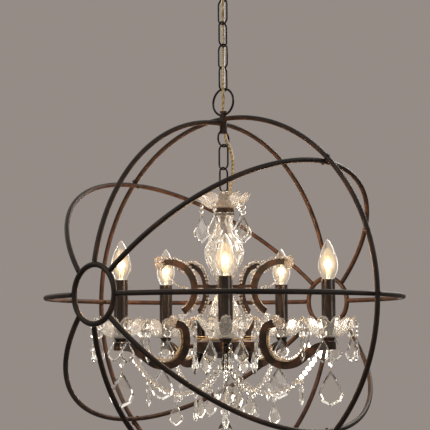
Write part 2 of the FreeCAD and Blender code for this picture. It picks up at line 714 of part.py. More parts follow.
def hub():
    """The iron bowl that the arms are screwed to, its cover, and the finial with its ring."""
    wall, radius, top = size("hub_wall"), size("hub_radius"), size("hub_top_radius")
    bowl = turned("bowl_turned", [
        (bore, hub_top_z), (top, hub_top_z), (radius, rim_z), (radius, skirt_z), (radius - wall, skirt_z),
        (radius - wall, rim_z - wall * 0.6), (top, hub_top_z - wall), (bore, hub_top_z - wall)])
    holes = []
    for angle in arm_angles():
        inner_end = polar(radius - wall * 3, angle, rim_z - size("arm_stud_drop"))
        holes.append(rod("bowl_hole", size("arm_stud_diameter") + slip, wall * 6,
                         FreeCAD.Placement(inner_end, FreeCAD.Rotation(Z_AXIS, polar(1, angle)))))
    cut("hub_bowl", bowl, fused("bowl_holes", holes))
    cover, depth = size("cover_radius"), size("cover_depth")
    turned("hub_cover", [(bore, cover_z), (cover * 0.4, cover_z), (cover, skirt_z - depth * 0.5),
                         (radius, skirt_z - wall), (radius, skirt_z), (cover, skirt_z - depth * 0.5 + wall),
                         (cover * 0.4, cover_z + wall), (bore, cover_z + wall)])
    half = size("finial_diameter") / 2
    nut = turned("finial_nut", [(ZERO, finial_z), (half * 0.5, finial_z), (half, finial_z + half),
                                (half, cover_z), (ZERO, cover_z)])
    ring = hoop("finial_ring", finial_ring_radius, size("finial_ring_wire"),
                place(z=finial_ring_z, axis=Y_AXIS, angle=90))
    thread = rod("finial_thread", size("center_stem_diameter") + screw * 2, size("finial_height") * 0.6,
                 place(z=cover_z - size("finial_height") * 0.55))
    cut("hub_finial", fused("finial_blank", [nut, ring]), thread)


finial_ring_radius = (size("finial_ring_diameter") - size("finial_ring_wire")) / 2
finial_ring_z = finial_z - finial_ring_radius + size("finial_ring_wire") / 4


def scroll_spider():
    """A ring on the middle tube with a spoke to the back of each scroll."""
    reach = size("scroll_back_radius") - size("scroll_depth") / 2 - weld
    pieces = [rod("spider_ring", size("spider_ring_radius") * 2, size("spider_height"), place(z=spider_z))]
    for angle in arm_angles():
        spoke = doc.addObject("Part::Box", "spoke")
        bind(spoke, "Length", reach)
        bind(spoke, "Width", size("spoke_width"))
        bind(spoke, "Height", size("spider_height"))
        turn = FreeCAD.Rotation(Z_AXIS, angle)
        corner = turn.multVec(Vec(0, -float(size("spoke_width")) / 2, 0)) + Vec(0, 0, float(spider_z))
        spoke.Placement = FreeCAD.Placement(corner, turn)
        pieces.append(spoke)
    middle = rod("spider_bore", bore * 2, size("spider_height") * 3, place(z=spider_z - size("spider_height")))
    cut("scroll_spider", fused("spider_blank", pieces), middle)


# ---------------------------------------------------------------- arms and scrolls

ARM_NAMES = ("front", "right", "back_right", "back_left", "left")


def arm_angles():
    count = int(float(size("arm_count")))
    first = 180 + float(size("front_arm_turn"))
    return [first + 360 * i / count for i in range(count)]


arm_half = size("arm_depth") / 2
arm_seat = size("hub_radius") + size("arm_standoff") + arm_half
arm_end_z = rim_z - size("arm_end_drop")
arm_end = size("candle_circle") + size("pan_diameter") / 2


def arm_route():
    """The arm's centreline in its own upright plane, from the free tip round the bend to the candle.

    Its corners are shares of three lengths: the tip's height and the trough's depth from the hub's rim, and
    the way out from the hub to the candle.
    """
    seat, rim, end_z = float(arm_seat), float(rim_z), float(arm_end_z)
    rise, trough = float(size("arm_tip_rise")), float(size("arm_trough"))
    way = float(arm_end) - seat
    tip = Vec(seat + float(size("arm_tip_reach")), 0, rim + rise)
    corners = [(0.03, rise * 0.82), (-0.01, rise * 0.24), (0.01, -trough * 0.36), (0.11, -trough * 0.85),
               (0.27, -trough * 1.05), (0.44, -trough * 0.97), (0.61, -trough * 0.54),
               (0.76, -float(size("arm_end_drop")) * 1.3)]
    bend = [Vec(seat + way * share, 0, rim + height) for share, height in corners]
    return [tip] + bend + [Vec(float(arm_end), 0, end_z)]


def arms():
    """Channel arms: a flat bar on edge, grooved along its under side for the lamp wire, and a stud."""
    half, wall, standoff = float(arm_half), float(size("channel_wall")), float(size("arm_standoff"))
    bar = strip_along(arm_route(), -half, half, float(size("arm_thickness")))
    groove = strip_along(arm_route(), -half - wall, half - wall, float(size("channel_groove")))
    hub_wall = float(size("hub_wall"))
    stud = Part.makeCylinder(float(size("arm_stud_diameter")) / 2, standoff + hub_wall * 2 + wall / 2,
                             Vec(float(size("hub_radius")) - hub_wall * 2, 0, float(arm_stud_z)), X_AXIS)
    bolt_hole = Part.makeCylinder(float(size("wire_diameter")) / 2 + float(slip), half * 4,
                                  Vec(float(size("candle_circle")), 0, float(arm_end_z)))
    arm = bar.cut(groove).fuse(stud).cut(bolt_hole)
    for name, angle in zip(ARM_NAMES, arm_angles()):
        solid_feature("arm_" + name, arm, place(angle=angle))
    lead = arm_route()[3:]
    lead[-1] = Vec(float(size("candle_circle")) + float(size("wire_diameter")), 0, lead[-1].z)
    wire = tube_along(lead, size("wire_diameter"))[0]
    copies("arm_wires", wire, [place(angle=angle) for angle in arm_angles()])


arm_stud_z = rim_z - size("arm_stud_drop")
scroll_center_z = spider_z + size("spider_height") / 2 - size("scroll_drop")
scroll_center = size("scroll_back_radius") + size("scroll_radius")


def upper_scrolls():
    """Flat bars bent to an arc; each stands with its back against a spoke."""
    depth, thickness = size("scroll_depth"), size("scroll_thickness")
    sector = doc.addObject("Part::Cylinder", "scroll_sector")
    bind(sector, "Radius", size("scroll_radius") + depth / 2)
    bind(sector, "Height", thickness)
    bind(sector, "Angle", size("scroll_sweep"))
    sector.Placement = place(angle=float(size("scroll_tip_angle")))
    middle = rod("scroll_middle", size("scroll_radius") * 2 - depth, thickness * 3, place(z=-thickness))
    arc = cut("scroll_pattern", sector, middle)
    doc.recompute()
    upright = place(x=scroll_center, y=thickness / 2, z=scroll_center_z, axis=X_AXIS, angle=90)
    copies("upper_scrolls", arc.Shape, [place(angle=angle).multiply(upright) for angle in arm_angles()])


# ---------------------------------------------------------------- candles

pan_z = arm_end_z + arm_half
bobeche_z = pan_z + size("pan_height")
sleeve_z = bobeche_z + size("glass_wall")
sleeve_top_z = sleeve_z + size("sleeve_height")
holder_z = sleeve_top_z - size("holder_drop") - size("holder_height")


def candle_places(height=0.0):
    return [FreeCAD.Placement(polar(size("candle_circle"), angle, height), FreeCAD.Rotation(Z_AXIS, angle))
            for angle in arm_angles()]


def scalloped_dish(label, radius, height, foot, hole):
    """A glass dish whose rim is cut into petals by round notches."""
    wall = size("glass_wall")
    blank = turned(label + "_turned", [
        (hole, ZERO), (foot, ZERO), (radius * 0.6, height * 0.17), (radius * 0.86, height * 0.48),
        (radius, height), (radius - wall, height), (radius * 0.86 - wall, height * 0.52),
        (radius * 0.6 - wall / 2, height * 0.2 + wall), (foot, wall), (hole, wall)])
    notches = []
    count = int(float(size("petal_count")))
    for i in range(count):
        angle = 360 * (i + 0.5) / count
        outward = FreeCAD.Rotation(Z_AXIS, polar(1, angle))
        at = polar(radius * 0.7, angle, height * 1.06)
        notches.append(rod("petal_notch", size("petal_notch_radius") * 2, radius,
                           FreeCAD.Placement(at, outward)))
    return cut(label, blank, fused(label + "_notches", notches))


def candle_patterns():
    """One of each candle piece, upright on the origin, to be copied to the five arms."""
    stud, pan = size("stud_diameter") / 2, size("pan_diameter") / 2
    stud_top = holder_z - pan_z
    wire_bore = stud * 0.6
    pan_piece = turned("pan_pattern", [
        (wire_bore, ZERO), (pan * 0.75, ZERO), (pan, size("pan_height")), (stud, size("pan_height")),
        (stud, stud_top), (wire_bore, stud_top)])
    bobeche = scalloped_dish("bobeche_pattern", size("bobeche_radius"), size("bobeche_height"),
                             size("bobeche_foot_radius"), stud + slip)
    outer, foot, wall = size("sleeve_diameter") / 2, size("sleeve_foot_diameter") / 2, size("sleeve_wall")
    taper, tall = size("sleeve_taper_height"), size("sleeve_height")
    sleeve = turned("sleeve_pattern", [
        (foot - wall, ZERO), (foot, ZERO), (outer, taper), (outer, tall), (outer - wall, tall),
        (outer - wall, taper)])
    holder, cap, holder_height = size("holder_diameter") / 2, size("bulb_cap_diameter") / 2, size("holder_height")
    socket_floor = holder_height + size("holder_drop") - size("bulb_cap_height") - slip
    socket = turned("holder_pattern", [
        (ZERO, ZERO), (holder * 0.6, ZERO), (holder, holder_height * 0.3), (holder, holder_height),
        (cap + slip, holder_height), (cap + slip, socket_floor), (ZERO, socket_floor)])
    return pan_piece, bobeche, sleeve, socket


def bulb_shape():
    """A clear candle bulb: a thin glass shell, its screw cap and the glass mount of its filament."""
    neck, radius = float(size("bulb_neck_diameter")) / 2, float(size("bulb_diameter")) / 2
    tall, wall = float(size("bulb_height")), float(size("bulb_wall"))
    shape = [(neck, 0), (neck * 1.25, 0.08), (radius * 0.94, 0.22), (radius, 0.34), (radius * 0.93, 0.5),
             (radius * 0.66, 0.72), (radius * 0.33, 0.89), (wall * 1.5, 1.0)]

    def side(inset, low, high):
        knots = [Vec(max(r - inset, 0.4), 0, low + (high - low) * share) for r, share in shape]
        curve = Part.BSplineCurve()
        curve.interpolate(knots)
        return curve.toShape(), knots[0], knots[-1]

    outer, outer_low, outer_high = side(0, 0, tall)
    inner, inner_low, inner_high = side(wall, 0, tall - wall * 1.5)
    tip, tip_inside = Vec(0, 0, outer_high.z), Vec(0, 0, inner_high.z)
    edges = [outer, Part.LineSegment(outer_high, tip).toShape(), Part.LineSegment(tip, tip_inside).toShape(),
             Part.LineSegment(tip_inside, inner_high).toShape(), inner,
             Part.LineSegment(inner_low, outer_low).toShape()]
    glass = Part.Face(Part.Wire(Part.__sortEdges__(edges))).revolve(Vec(), Z_AXIS, 360)
    cap_radius, cap_height = float(size("bulb_cap_diameter")) / 2, float(size("bulb_cap_height"))
    flange = float(size("bulb_flange_height"))
    cap = Part.makeCylinder(cap_radius, cap_height, Vec(0, 0, -cap_height))
    cap = cap.fuse(Part.makeCylinder(neck - wall, flange, Vec(0, 0, -flange)))
    mount = Part.makeCone(cap_radius * 0.5, 1.0, tall * 0.3, Vec())
    return Part.makeCompound([glass, cap, mount])


def candles():
    pan_piece, bobeche, sleeve, socket = candle_patterns()
    doc.recompute()
    copies("candle_pans", pan_piece.Shape, candle_places(pan_z))
    copies("bobeches", bobeche.Shape, candle_places(bobeche_z))
    copies("candle_sleeves", sleeve.Shape, candle_places(sleeve_z))
    copies("lampholders", socket.Shape, candle_places(holder_z))
    for name, at in zip(ARM_NAMES, candle_places(sleeve_top_z + slip)):
        solid_feature("bulb_" + name, bulb_shape(), at)


def top_dish():
    dish = scalloped_dish("top_dish_pattern", size("dish_radius"), size("dish_height"),
                          size("dish_foot_radius"), bore)
    doc.recompute()
    copies("top_dish", dish.Shape, [place(z=dish_z, angle=float(size("front_arm_turn")))])


# ---------------------------------------------------------------- crystals


def faced(polygons):
    faces = [Part.Face(Part.makePolygon(polygon + polygon[:1])) for polygon in polygons]
    return Part.makeSolid(Part.makeShell(faces))


def flat_crystal(outline, width, height, thickness, table=0.5):
    """A cut crystal in its own XZ plane, hanging from the origin: a girdle and a smaller flat on each side."""
    width, height, half = float(width), float(height), float(thickness) / 2
    girdle = [Vec(x * width, 0, -z * height) for x, z in outline]
    girdle += [Vec(-p.x, 0, p.z) for p in reversed(girdle) if p.x > 1e-6]
    middle = Vec(0, 0, -0.55 * height)
    polygons = []
    for y in (-half, half):
        flat = [middle + (p - middle) * table + Vec(0, y, 0) for p in girdle]
        polygons.append(flat)
        for i in range(len(girdle)):
            after = (i + 1) % len(girdle)
            polygons.append([girdle[i], girdle[after], flat[after], flat[i]])
    return outward(faced(polygons))


def gem(profile, sides):
    """A crystal of flat facets round its own Z axis. profile lists (radius, height), with a point at each end."""
    rings = [[polar(r, 360 * (i + 0.5 * (n % 2)) / sides, z) for i in range(sides)]
             for n, (r, z) in enumerate(profile[1:-1])]
    top, bottom = Vec(0, 0, float(profile[0][1])), Vec(0, 0, float(profile[-1][1]))
    polygons = []
    for i in range(sides):
        after = (i + 1) % sides
        polygons.append([top, rings[0][i], rings[0][after]])
        polygons.append([bottom, rings[-1][i], rings[-1][after]])
        for n, (upper, lower) in enumerate(zip(rings, rings[1:])):
            shifted = 1 if n % 2 else 0
            polygons.append([upper[i], upper[after], lower[(i + shifted) % sides]])
            polygons.append([upper[after], lower[(i + shifted) % sides], lower[(after + shifted) % sides]])
    return outward(faced(polygons))


def outward(solid):
    if solid.Volume < 0:
        solid.reverse()
    return solid


# Half outlines: how far out, as a share of the width, and how far down, as a share of the height.
KITE = [(0, 0), (0.5, 0.6), (0.46, 0.75), (0, 1)]
PEAR = [(0, 0), (0.2, 0.22), (0.42, 0.5), (0.5, 0.68), (0.38, 0.87), (0, 1)]
OCTAGON = [(0.21, 0), (0.5, 0.29), (0.5, 0.71), (0.21, 1)]


def kite(kind):
    width, height = size(kind + "_width"), size(kind + "_height")
    return flat_crystal(KITE, width, height, size("kite_thickness"), 0.45), height


def pear():
    height = size("pear_height")
    return flat_crystal(PEAR, size("pear_width"), height, size("pear_thickness"), 0.55), height


def octagon(kind):
    width = size(kind + "_width")
    return flat_crystal(OCTAGON, width, width, size(kind + "_thickness"), 0.6), width


def oval():
    half, tall = float(size("oval_width")) / 2, float(size("oval_height"))
    profile = [(0, 0), (half * 0.8, -tall * 0.2), (half, -tall * 0.5), (half * 0.8, -tall * 0.8), (0, -tall)]
    return gem(profile, 6), tall


def prism():
    half, long = float(size("prism_width")) / 2, float(size("prism_length"))
    return gem([(0, 0), (half * 0.7, -long * 0.12), (half, -long * 0.72), (0, -long)], 6), long


def ball():
    radius, rows = float(size("ball_diameter")) / 2, 7
    levels = [(radius * math.sin(math.pi * i / rows), radius * math.cos(math.pi * i / rows) - radius)
              for i in range(rows + 1)]
    return gem(levels, 10), radius * 2


def strand(*pieces):
    """Crystals hung one under the other from the origin, each given as its solid and its height."""
    z, hung = 0.0, []
    for solid, height in pieces:
        z -= float(size("crystal_play"))
        hung.append(placed(solid, place(z=z)))
        z -= float(height)
    return Part.makeCompound(hung)


def hanging(radius, bearing, height, number=0):
    """Upright at a bearing. Free strands come to rest facing any way, so each is turned differently."""
    turn = float(size("strand_turn")) * number
    return FreeCAD.Placement(polar(radius, bearing, height), FreeCAD.Rotation(Z_AXIS, turn))


def flat_on(radius, bearing, height=0.0):
    """Upright at a bearing with its flat side to the middle, as a strand lies that touches what it hangs on."""
    return FreeCAD.Placement(polar(radius, bearing, height), FreeCAD.Rotation(Z_AXIS, bearing - 90))


def swag_point(share):
    """A point of the swag, which sags from its arm's candle end to the finial in the arm's upright plane."""
    start = Vec(float(size("candle_circle") - size("pan_diameter") * 0.8), 0,
                float(arm_end_z - arm_half - size("crystal_play")) - float(size("bead_width")) / 2)
    end = Vec(float(size("finial_diameter") / 2 + size("crystal_play")), 0,
              float(finial_z) + float(size("bead_width")) / 2)
    return start + (end - start) * share - Vec(0, 0, 4 * float(size("swag_sag")) * share * (1 - share))


SWAG_STEPS = 400


def swag():
    """Octagon beads strung along the swag, evenly and nearly touching, with drops under three of them."""
    samples = [swag_point(i / SWAG_STEPS) for i in range(SWAG_STEPS + 1)]
    reached = [0.0]
    for before, after in zip(samples, samples[1:]):
        reached.append(reached[-1] + (after - before).Length)
    bead, width = octagon("bead")
    count = int(reached[-1] // (float(width) + float(size("crystal_play"))))
    pitch = reached[-1] / count
    knots, at = [], 0
    for i in range(count + 1):
        while at < SWAG_STEPS and reached[at] < i * pitch:
            at += 1
        knots.append(samples[at])
    beads = []
    for upper, lower in zip(knots, knots[1:]):
        way = (lower - upper).normalize()
        first = upper + way * ((pitch - float(width)) / 2)
        beads.append(placed(bead, FreeCAD.Placement(first, FreeCAD.Rotation(Vec(0, 0, -1), way))))
    for share, piece in ((0.25, prism()), (0.5, kite("small_kite")), (0.75, kite("small_kite"))):
        number = int(count * share)
        below = (knots[number] + knots[number + 1]) / 2 - Vec(0, 0, float(width) / 2)
        beads.append(placed(strand(octagon("bead"), piece), hanging(below.x, 0, below.z, number)))
    return beads


def arm_lining():
    """Small beads on a wire along the inside of the arm's bend."""
    radius = float(size("small_bead")) / 2
    bead = gem([(0, radius), (radius, radius * 0.4), (radius, -radius * 0.4), (0, -radius)], 6)
    offset = float(arm_half) + radius + float(size("crystal_play")) / 2
    due, beads = 0.0, []
    edges = rounded_route(arm_route())[0]
    for edge in edges[2:-4]:
        while due < edge.Length:
            at = edge.getParameterByLength(due)
            share = (at - edge.FirstParameter) / (edge.LastParameter - edge.FirstParameter)
            beads.append(placed(bead, FreeCAD.Placement(beside(edge, share, offset), FreeCAD.Rotation())))
            due += float(size("small_bead_pitch"))
        due -= edge.Length
    return beads


def crystals():
    # Where a strand's pin goes through a dish, as shares of the dish's radius and height.
    inner_pin, outer_pin = (0.8, 0.41), (0.936, 0.83)
    hang_z = dish_z + size("dish_height") * inner_pin[1] - size("crystal_play")
    bearings = [angle - float(size("top_dish_turn")) for angle in arm_angles()]
    copies("top_pendants", strand(octagon("bead"), octagon("bead"), kite("kite")),
           [hanging(size("dish_radius") * inner_pin[0], angle, hang_z, 8 + i * 5)
            for i, angle in enumerate(bearings)])
    count = int(float(size("pan_crystals")))
    rim = size("bobeche_radius") * outer_pin[0] + size("octagon_thickness") / 2
    hang_z = bobeche_z + size("bobeche_height") * outer_pin[1]
    copies("pan_pendants", strand(octagon("octagon"), octagon("octagon"), kite("small_kite")),
           [middle.multiply(flat_on(rim, 360 * (i + 0.5) / count)) for middle in candle_places(hang_z)
            for i in range(count)])
    side = size("arm_thickness") / 2 + size("oval_width") / 2 + size("crystal_play")
    copies("arm_prisms", strand(oval(), prism(), pear()),
           [middle.multiply(place(y=side)) for middle in candle_places(pan_z)])
    spacing = 180 / float(size("arm_count"))
    copies("hub_drops", strand(kite("small_kite")),
           [flat_on(size("hub_radius") + slip * 2, bearing, skirt_z + slip)
            for angle in arm_angles() for bearing in (angle, angle + spacing)])
    copies("bead_swags", Part.makeCompound(swag() + arm_lining()),
           [place(angle=angle) for angle in arm_angles()])
    rosettes()
    crystal_ball()


def rosettes():
    """A cut rosette on the outer end of each scroll and on the free tip of each arm."""
    radius, half = float(size("rosette_diameter")) / 2, float(size("rosette_thickness")) / 2
    blossom = gem([(0, half), (radius * 0.6, half * 0.8), (radius, 0), (radius * 0.6, -half * 0.8),
                   (0, -half)], 8)
    tip_angle = float(size("scroll_tip_angle"))
    tip = Vec(float(scroll_center), 0, float(scroll_center_z)) + upright_polar(size("scroll_radius"), tip_angle)
    arm_tip, before = arm_route()[:2]
    blossoms = []
    for point, way in ((tip, upright_polar(1, tip_angle - 90)), (arm_tip, (arm_tip - before).normalize())):
        at = point + way * (half + float(size("crystal_play")))
        standing = FreeCAD.Placement(at, FreeCAD.Rotation(Z_AXIS, way))
        blossoms += [placed(blossom, place(angle=angle).multiply(standing)) for angle in arm_angles()]
    solid_feature("scroll_rosettes", Part.makeCompound(blossoms))


def upright_polar(radius, angle):
    """Like polar, in the XZ plane."""
    flat = polar(radius, angle)
    return Vec(flat.x, 0, flat.y)


def crystal_ball():
    """The lowest pendant: a ring on the finial's ring, a pin, the cut ball, an octagon and a pear."""
    wire = float(size("ball_wire"))
    ring_radius = wire * 1.9
    inside_z = float(finial_ring_z - finial_ring_radius + size("finial_ring_wire") / 2 + play)
    ring = placed(Part.makeTorus(ring_radius, wire / 2),
                  place(z=inside_z - ring_radius + wire / 2, axis=X_AXIS, angle=90))
    pin_top = inside_z - 2 * ring_radius + wire * 0.75
    drop = float(size("ball_wire_drop"))
    pin = Part.makeCylinder(wire / 2, drop, Vec(0, 0, pin_top - drop))
    facing = float(size("front_arm_turn")) - 90
    hung = placed(strand(ball(), octagon("octagon"), pear()),
                  place(z=pin_top - drop + float(size("crystal_play")), angle=facing))
    solid_feature("crystal_ball", Part.makeCompound([ring.fuse(pin)] + hung.Solids))


# ---------------------------------------------------------------- build, check and write

for section in (ceiling_crossbar, canopy_nipple, ceiling_canopy, canopy_loop, chains, round_rings,
                lamp_cord_upper, lamp_cord_inner, top_stem, cage, cage_pins, column, vases, hub, scroll_spider,
                arms, upper_scrolls, candles, top_dish, crystals):
    section()
doc.recompute()

NODES = """
ceiling_crossbar canopy_nipple ceiling_canopy canopy_loop chain_top_link upper_chain lamp_cord_upper orb_ring
top_stem cross_ring hub_ring_left hub_ring_right rod_front rod_back rod_top_left rod_top_right rod_bottom
rod_upper_front rod_upper_back rod_lower_front rod_lower_back ring_rivets bottom_bolt
inner_ring inner_chain lamp_cord_inner chandelier_eye top_cap top_dish collar_disc center_stem upper_vase
scroll_spider lower_vase hub_bowl hub_cover hub_finial arm_front arm_right arm_back_right arm_back_left arm_left
arm_wires upper_scrolls candle_pans bobeches candle_sleeves lampholders
bulb_front bulb_right bulb_back_right bulb_back_left bulb_left
top_pendants pan_pendants arm_prisms hub_drops bead_swags scroll_rosettes crystal_ball
""".split()

for item in doc.Objects:
    if "Invalid" in item.State or "Error" in item.State:
        raise RuntimeError("%s failed: %s" % (item.Label, item.State))
for name in NODES:
    found = doc.getObjectsByLabel(name)
    if len(found) != 1 or found[0].Shape.isNull() or not found[0].Shape.isValid() or not found[0].Shape.Solids:
        raise RuntimeError("%s has no valid solid" % name)
for name in NODES:
    doc.getObjectsByLabel(name)[0].Shape.exportStep("parts/%s.step" % name)
print("%d nodes, orb centre at z = %.2f" % (len(NODES), float(orb_z)))
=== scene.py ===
# %% [markdown]
# # An orb chandelier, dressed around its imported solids
#
# The iron cage, the chains and the arms come from the frame and keep their shapes; the crystals keep
# their places and sizes and are cut again. This script gives each piece a finish, and builds what a
# solid model leaves plain: the two lamp cords, the petalled glass dishes, the fluted glass vases, the
# lit bulbs, the beads on the scrolls and the brass wire that joins the crystals. Everything is in
# metres, in the frame's own axes.

# %% Start: the frame and the tools
import math

import bmesh
import bpy
import numpy as np
from mathutils import Matrix, Vector


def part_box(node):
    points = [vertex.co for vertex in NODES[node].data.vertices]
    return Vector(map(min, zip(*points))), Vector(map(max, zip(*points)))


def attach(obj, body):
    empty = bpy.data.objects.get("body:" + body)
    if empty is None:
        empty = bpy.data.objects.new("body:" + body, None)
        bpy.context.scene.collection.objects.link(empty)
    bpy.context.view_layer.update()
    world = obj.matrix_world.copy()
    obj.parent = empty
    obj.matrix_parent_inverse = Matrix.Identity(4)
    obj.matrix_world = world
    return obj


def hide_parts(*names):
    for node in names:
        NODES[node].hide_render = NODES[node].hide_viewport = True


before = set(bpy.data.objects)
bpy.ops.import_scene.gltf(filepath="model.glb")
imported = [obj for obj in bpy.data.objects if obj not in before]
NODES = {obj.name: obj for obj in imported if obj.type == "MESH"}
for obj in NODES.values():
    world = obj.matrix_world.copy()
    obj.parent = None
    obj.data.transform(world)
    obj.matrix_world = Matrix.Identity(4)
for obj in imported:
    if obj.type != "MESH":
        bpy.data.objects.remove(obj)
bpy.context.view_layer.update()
MM = 0.001
ORB_CENTRE = (Vector(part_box("cross_ring")[0]) + Vector(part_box("cross_ring")[1])) / 2
print("orb centre", [round(c, 4) for c in ORB_CENTRE])

# %% [markdown]
# ## The camera
#
# The photograph was taken from a little below the middle of the cage, almost level. The camera stands
# two metres off, looks up by six degrees and has a long lens, so the hoops keep their round shape.
# A camera could be aimed with a Track To constraint, but a matrix made of three directions also holds
# the small roll of the picture.

# %% Camera
LOOK_BEARING = math.radians(41.757)
CAMERA_DISTANCE = 1.958
CAMERA_SIDE = -0.0158
CAMERA_LOWER = -0.0609
CAMERA_PITCH = math.radians(6.08)
CAMERA_ROLL = -0.005
PHOTO_PIXELS = 430
FOCAL_PIXELS = 1105.8
SENSOR_MM = 36


def photo_camera():
    """Camera axes: right is level, look is level, both turned up by the pitch and then rolled."""
    look = Vector((math.cos(LOOK_BEARING), math.sin(LOOK_BEARING), 0))
    right = Vector((look.y, -look.x, 0))
    up = Vector((0, 0, 1))
    place = ORB_CENTRE + right * CAMERA_SIDE - look * CAMERA_DISTANCE + up * CAMERA_LOWER
    ahead = look * math.cos(CAMERA_PITCH) + up * math.sin(CAMERA_PITCH)
    above = up * math.cos(CAMERA_PITCH) - look * math.sin(CAMERA_PITCH)
    side = right * math.cos(CAMERA_ROLL) + above * math.sin(CAMERA_ROLL)
    above = above * math.cos(CAMERA_ROLL) - right * math.sin(CAMERA_ROLL)
    camera = bpy.data.objects.new("camera", bpy.data.cameras.new("camera"))
    camera.data.sensor_width = SENSOR_MM
    camera.data.lens = SENSOR_MM * FOCAL_PIXELS / PHOTO_PIXELS
    columns = [side, above, -ahead]
    turn = Matrix([[c[row] for c in columns] for row in range(3)]).to_4x4()
    camera.matrix_world = Matrix.Translation(place) @ turn
    bpy.context.scene.collection.objects.link(camera)
    bpy.context.scene.camera = camera
    return look, right


LOOK, RIGHT = photo_camera()
print("lens %.2f mm" % bpy.context.scene.camera.data.lens)

# %% [markdown]
# ## Mesh helpers
#
# Each new shape is a grid of points worked out as one numpy array. A dish or a vase is a closed profile
# that goes round the axis, so its grid closes in both directions and has no seam and no open edge. A
# bead or a brass ring is made once and then copied to many places by adding arrays.

# %% Mesh helpers


def mesh_object(name, points, faces, material, smooth=True):
    """A mesh from an array of points and an array of faces, with its material."""
    mesh = bpy.data.meshes.new(name)
    faces = faces.tolist() if isinstance(faces, np.ndarray) else faces
    mesh.from_pydata(np.asarray(points, float).reshape(-1, 3).tolist(), [], faces)
    mesh.polygons.foreach_set("use_smooth", np.full(len(mesh.polygons), smooth))
    mesh.materials.append(material)
    obj = bpy.data.objects.new(name, mesh)
    bpy.context.scene.collection.objects.link(obj)
    return obj


def clean(obj, distance=1e-6):
    """Merges doubled points, such as a pole's, and turns all faces outwards."""
    work = bmesh.new()
    work.from_mesh(obj.data)
    bmesh.ops.remove_doubles(work, verts=work.verts, dist=distance)
    bmesh.ops.dissolve_degenerate(work, edges=work.edges, dist=distance)
    bmesh.ops.recalc_face_normals(work, faces=work.faces)
    work.to_mesh(obj.data)
    work.free()
    return obj


def grid_faces(rows, columns, close_rows, close_columns):
    """Quads of a rows by columns grid of points, wrapping round where it is closed."""
    r = np.arange(rows if close_rows else rows - 1)[:, None]
    c = np.arange(columns if close_columns else columns - 1)[None, :]
    r2, c2 = (r + 1) % rows, (c + 1) % columns
    quads = np.stack([r * columns + c, r * columns + c2, r2 * columns + c2, r2 * columns + c], -1)
    return quads.reshape(-1, 4)


def many(faces, count, size):
    """The same faces for count copies of a shape of size points."""
    return (faces[None] + (np.arange(count) * size)[:, None, None]).reshape(-1, faces.shape[1])


def tube(points, radius, sides=6):
    """A round tube along points: ring k is point k plus radius times (cos a, sin a) across the path."""
    points = np.asarray(points, float)
    along = np.gradient(points, axis=0)
    along /= np.linalg.norm(along, axis=1, keepdims=True)
    spare = np.where(np.abs(along[:, 2:]) > 0.9, [[1.0, 0, 0]], [[0, 0, 1.0]])
    across = np.cross(along, spare)
    across /= np.linalg.norm(across, axis=1, keepdims=True)
    other = np.cross(along, across)
    angle = np.linspace(0, 2 * np.pi, sides, endpoint=False)
    ring = np.cos(angle)[None, :, None] * across[:, None] + np.sin(angle)[None, :, None] * other[:, None]
    rings = points[:, None] + radius * ring
    faces = grid_faces(len(points), sides, False, True).tolist()
    count = len(points) * sides
    faces += [list(range(sides))[::-1], list(range(count - sides, count))]
    return rings.reshape(-1, 3), faces


def turned_rings(profile, sides, shape=None):
    """Points of a profile of (radius, height) turned round Z; shape may bend the cylinder coordinates.

    shape takes arrays of radius, angle and height and gives new ones.
    """
    profile = np.asarray(profile, float)
    angle = np.linspace(0, 2 * np.pi, sides, endpoint=False)[None, :]
    radius, height = profile[:, :1] + 0 * angle, profile[:, 1:] + 0 * angle
    if shape:
        radius, angle, height = shape(radius, angle + 0 * radius, height)
    return np.stack([radius * np.cos(angle), radius * np.sin(angle), height], -1)


def smooth_line(points, count):
    """A Catmull-Rom line through the points: each span blends its two ends by cubic weights."""
    p = np.asarray(points, float)
    p = np.vstack([2 * p[0] - p[1], p, 2 * p[-1] - p[-2]])
    at = np.linspace(0, len(p) - 3 - 1e-9, count)
    i, t = at.astype(int), (at % 1)[:, None]
    a, b, c, d = p[i], p[i + 1], p[i + 2], p[i + 3]
    square, cube = 2 * a - 5 * b + 4 * c - d, 3 * b - a - 3 * c + d
    return 0.5 * (2 * b + (c - a) * t + square * t ** 2 + cube * t ** 3)


def turned_piece(name, profile, sides, place, material):
    """A profile that starts and ends on the axis, turned round it and moved to a place."""
    rings = turned_rings(profile, sides) + place
    return clean(mesh_object(name, rings, grid_faces(*rings.shape[:2], False, True), material))


def joined(shapes):
    """Several shapes of (points, list of faces) as one shape."""
    points, faces, count = [], [], 0
    for ring, quads in shapes:
        points.append(ring)
        faces += [[i + count for i in face] for face in quads]
        count += len(ring)
    return np.vstack(points), faces


def glass_in_place(obj, node):
    """A glass piece casts no shadow, stands for its node and rides on the chandelier."""
    obj.visible_shadow = False
    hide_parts(node)
    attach(obj, "chandelier")


def fill_ramp(elements, stops):
    """Colour stops of a ramp: its own two become the ends and the others go in between."""
    for element, (position, colour) in ((elements[-1], stops[-1]), (elements[0], stops[0])):
        element.position, element.color = position, (*colour, 1)
    for position, colour in stops[1:-1]:
        elements.new(position).color = (*colour, 1)


# %% [markdown]
# ## Finishes
#
# The cage is iron with a dark brown-black coat. Where it turns to the inside of the orb, rust tones are
# painted in for the warm light of the bulbs on it: painted lamp light in the colours of the rust. That can
# be painted by hand, but a formula does it for all hoops at once: the surface's own direction against the
# direction from the middle of the orb tells the inside from the outside. All patterns read Object
# coordinates, so they stay where they are when the chandelier swings.

# %% Material helpers


NOISE_ROUGHNESS = 0.55


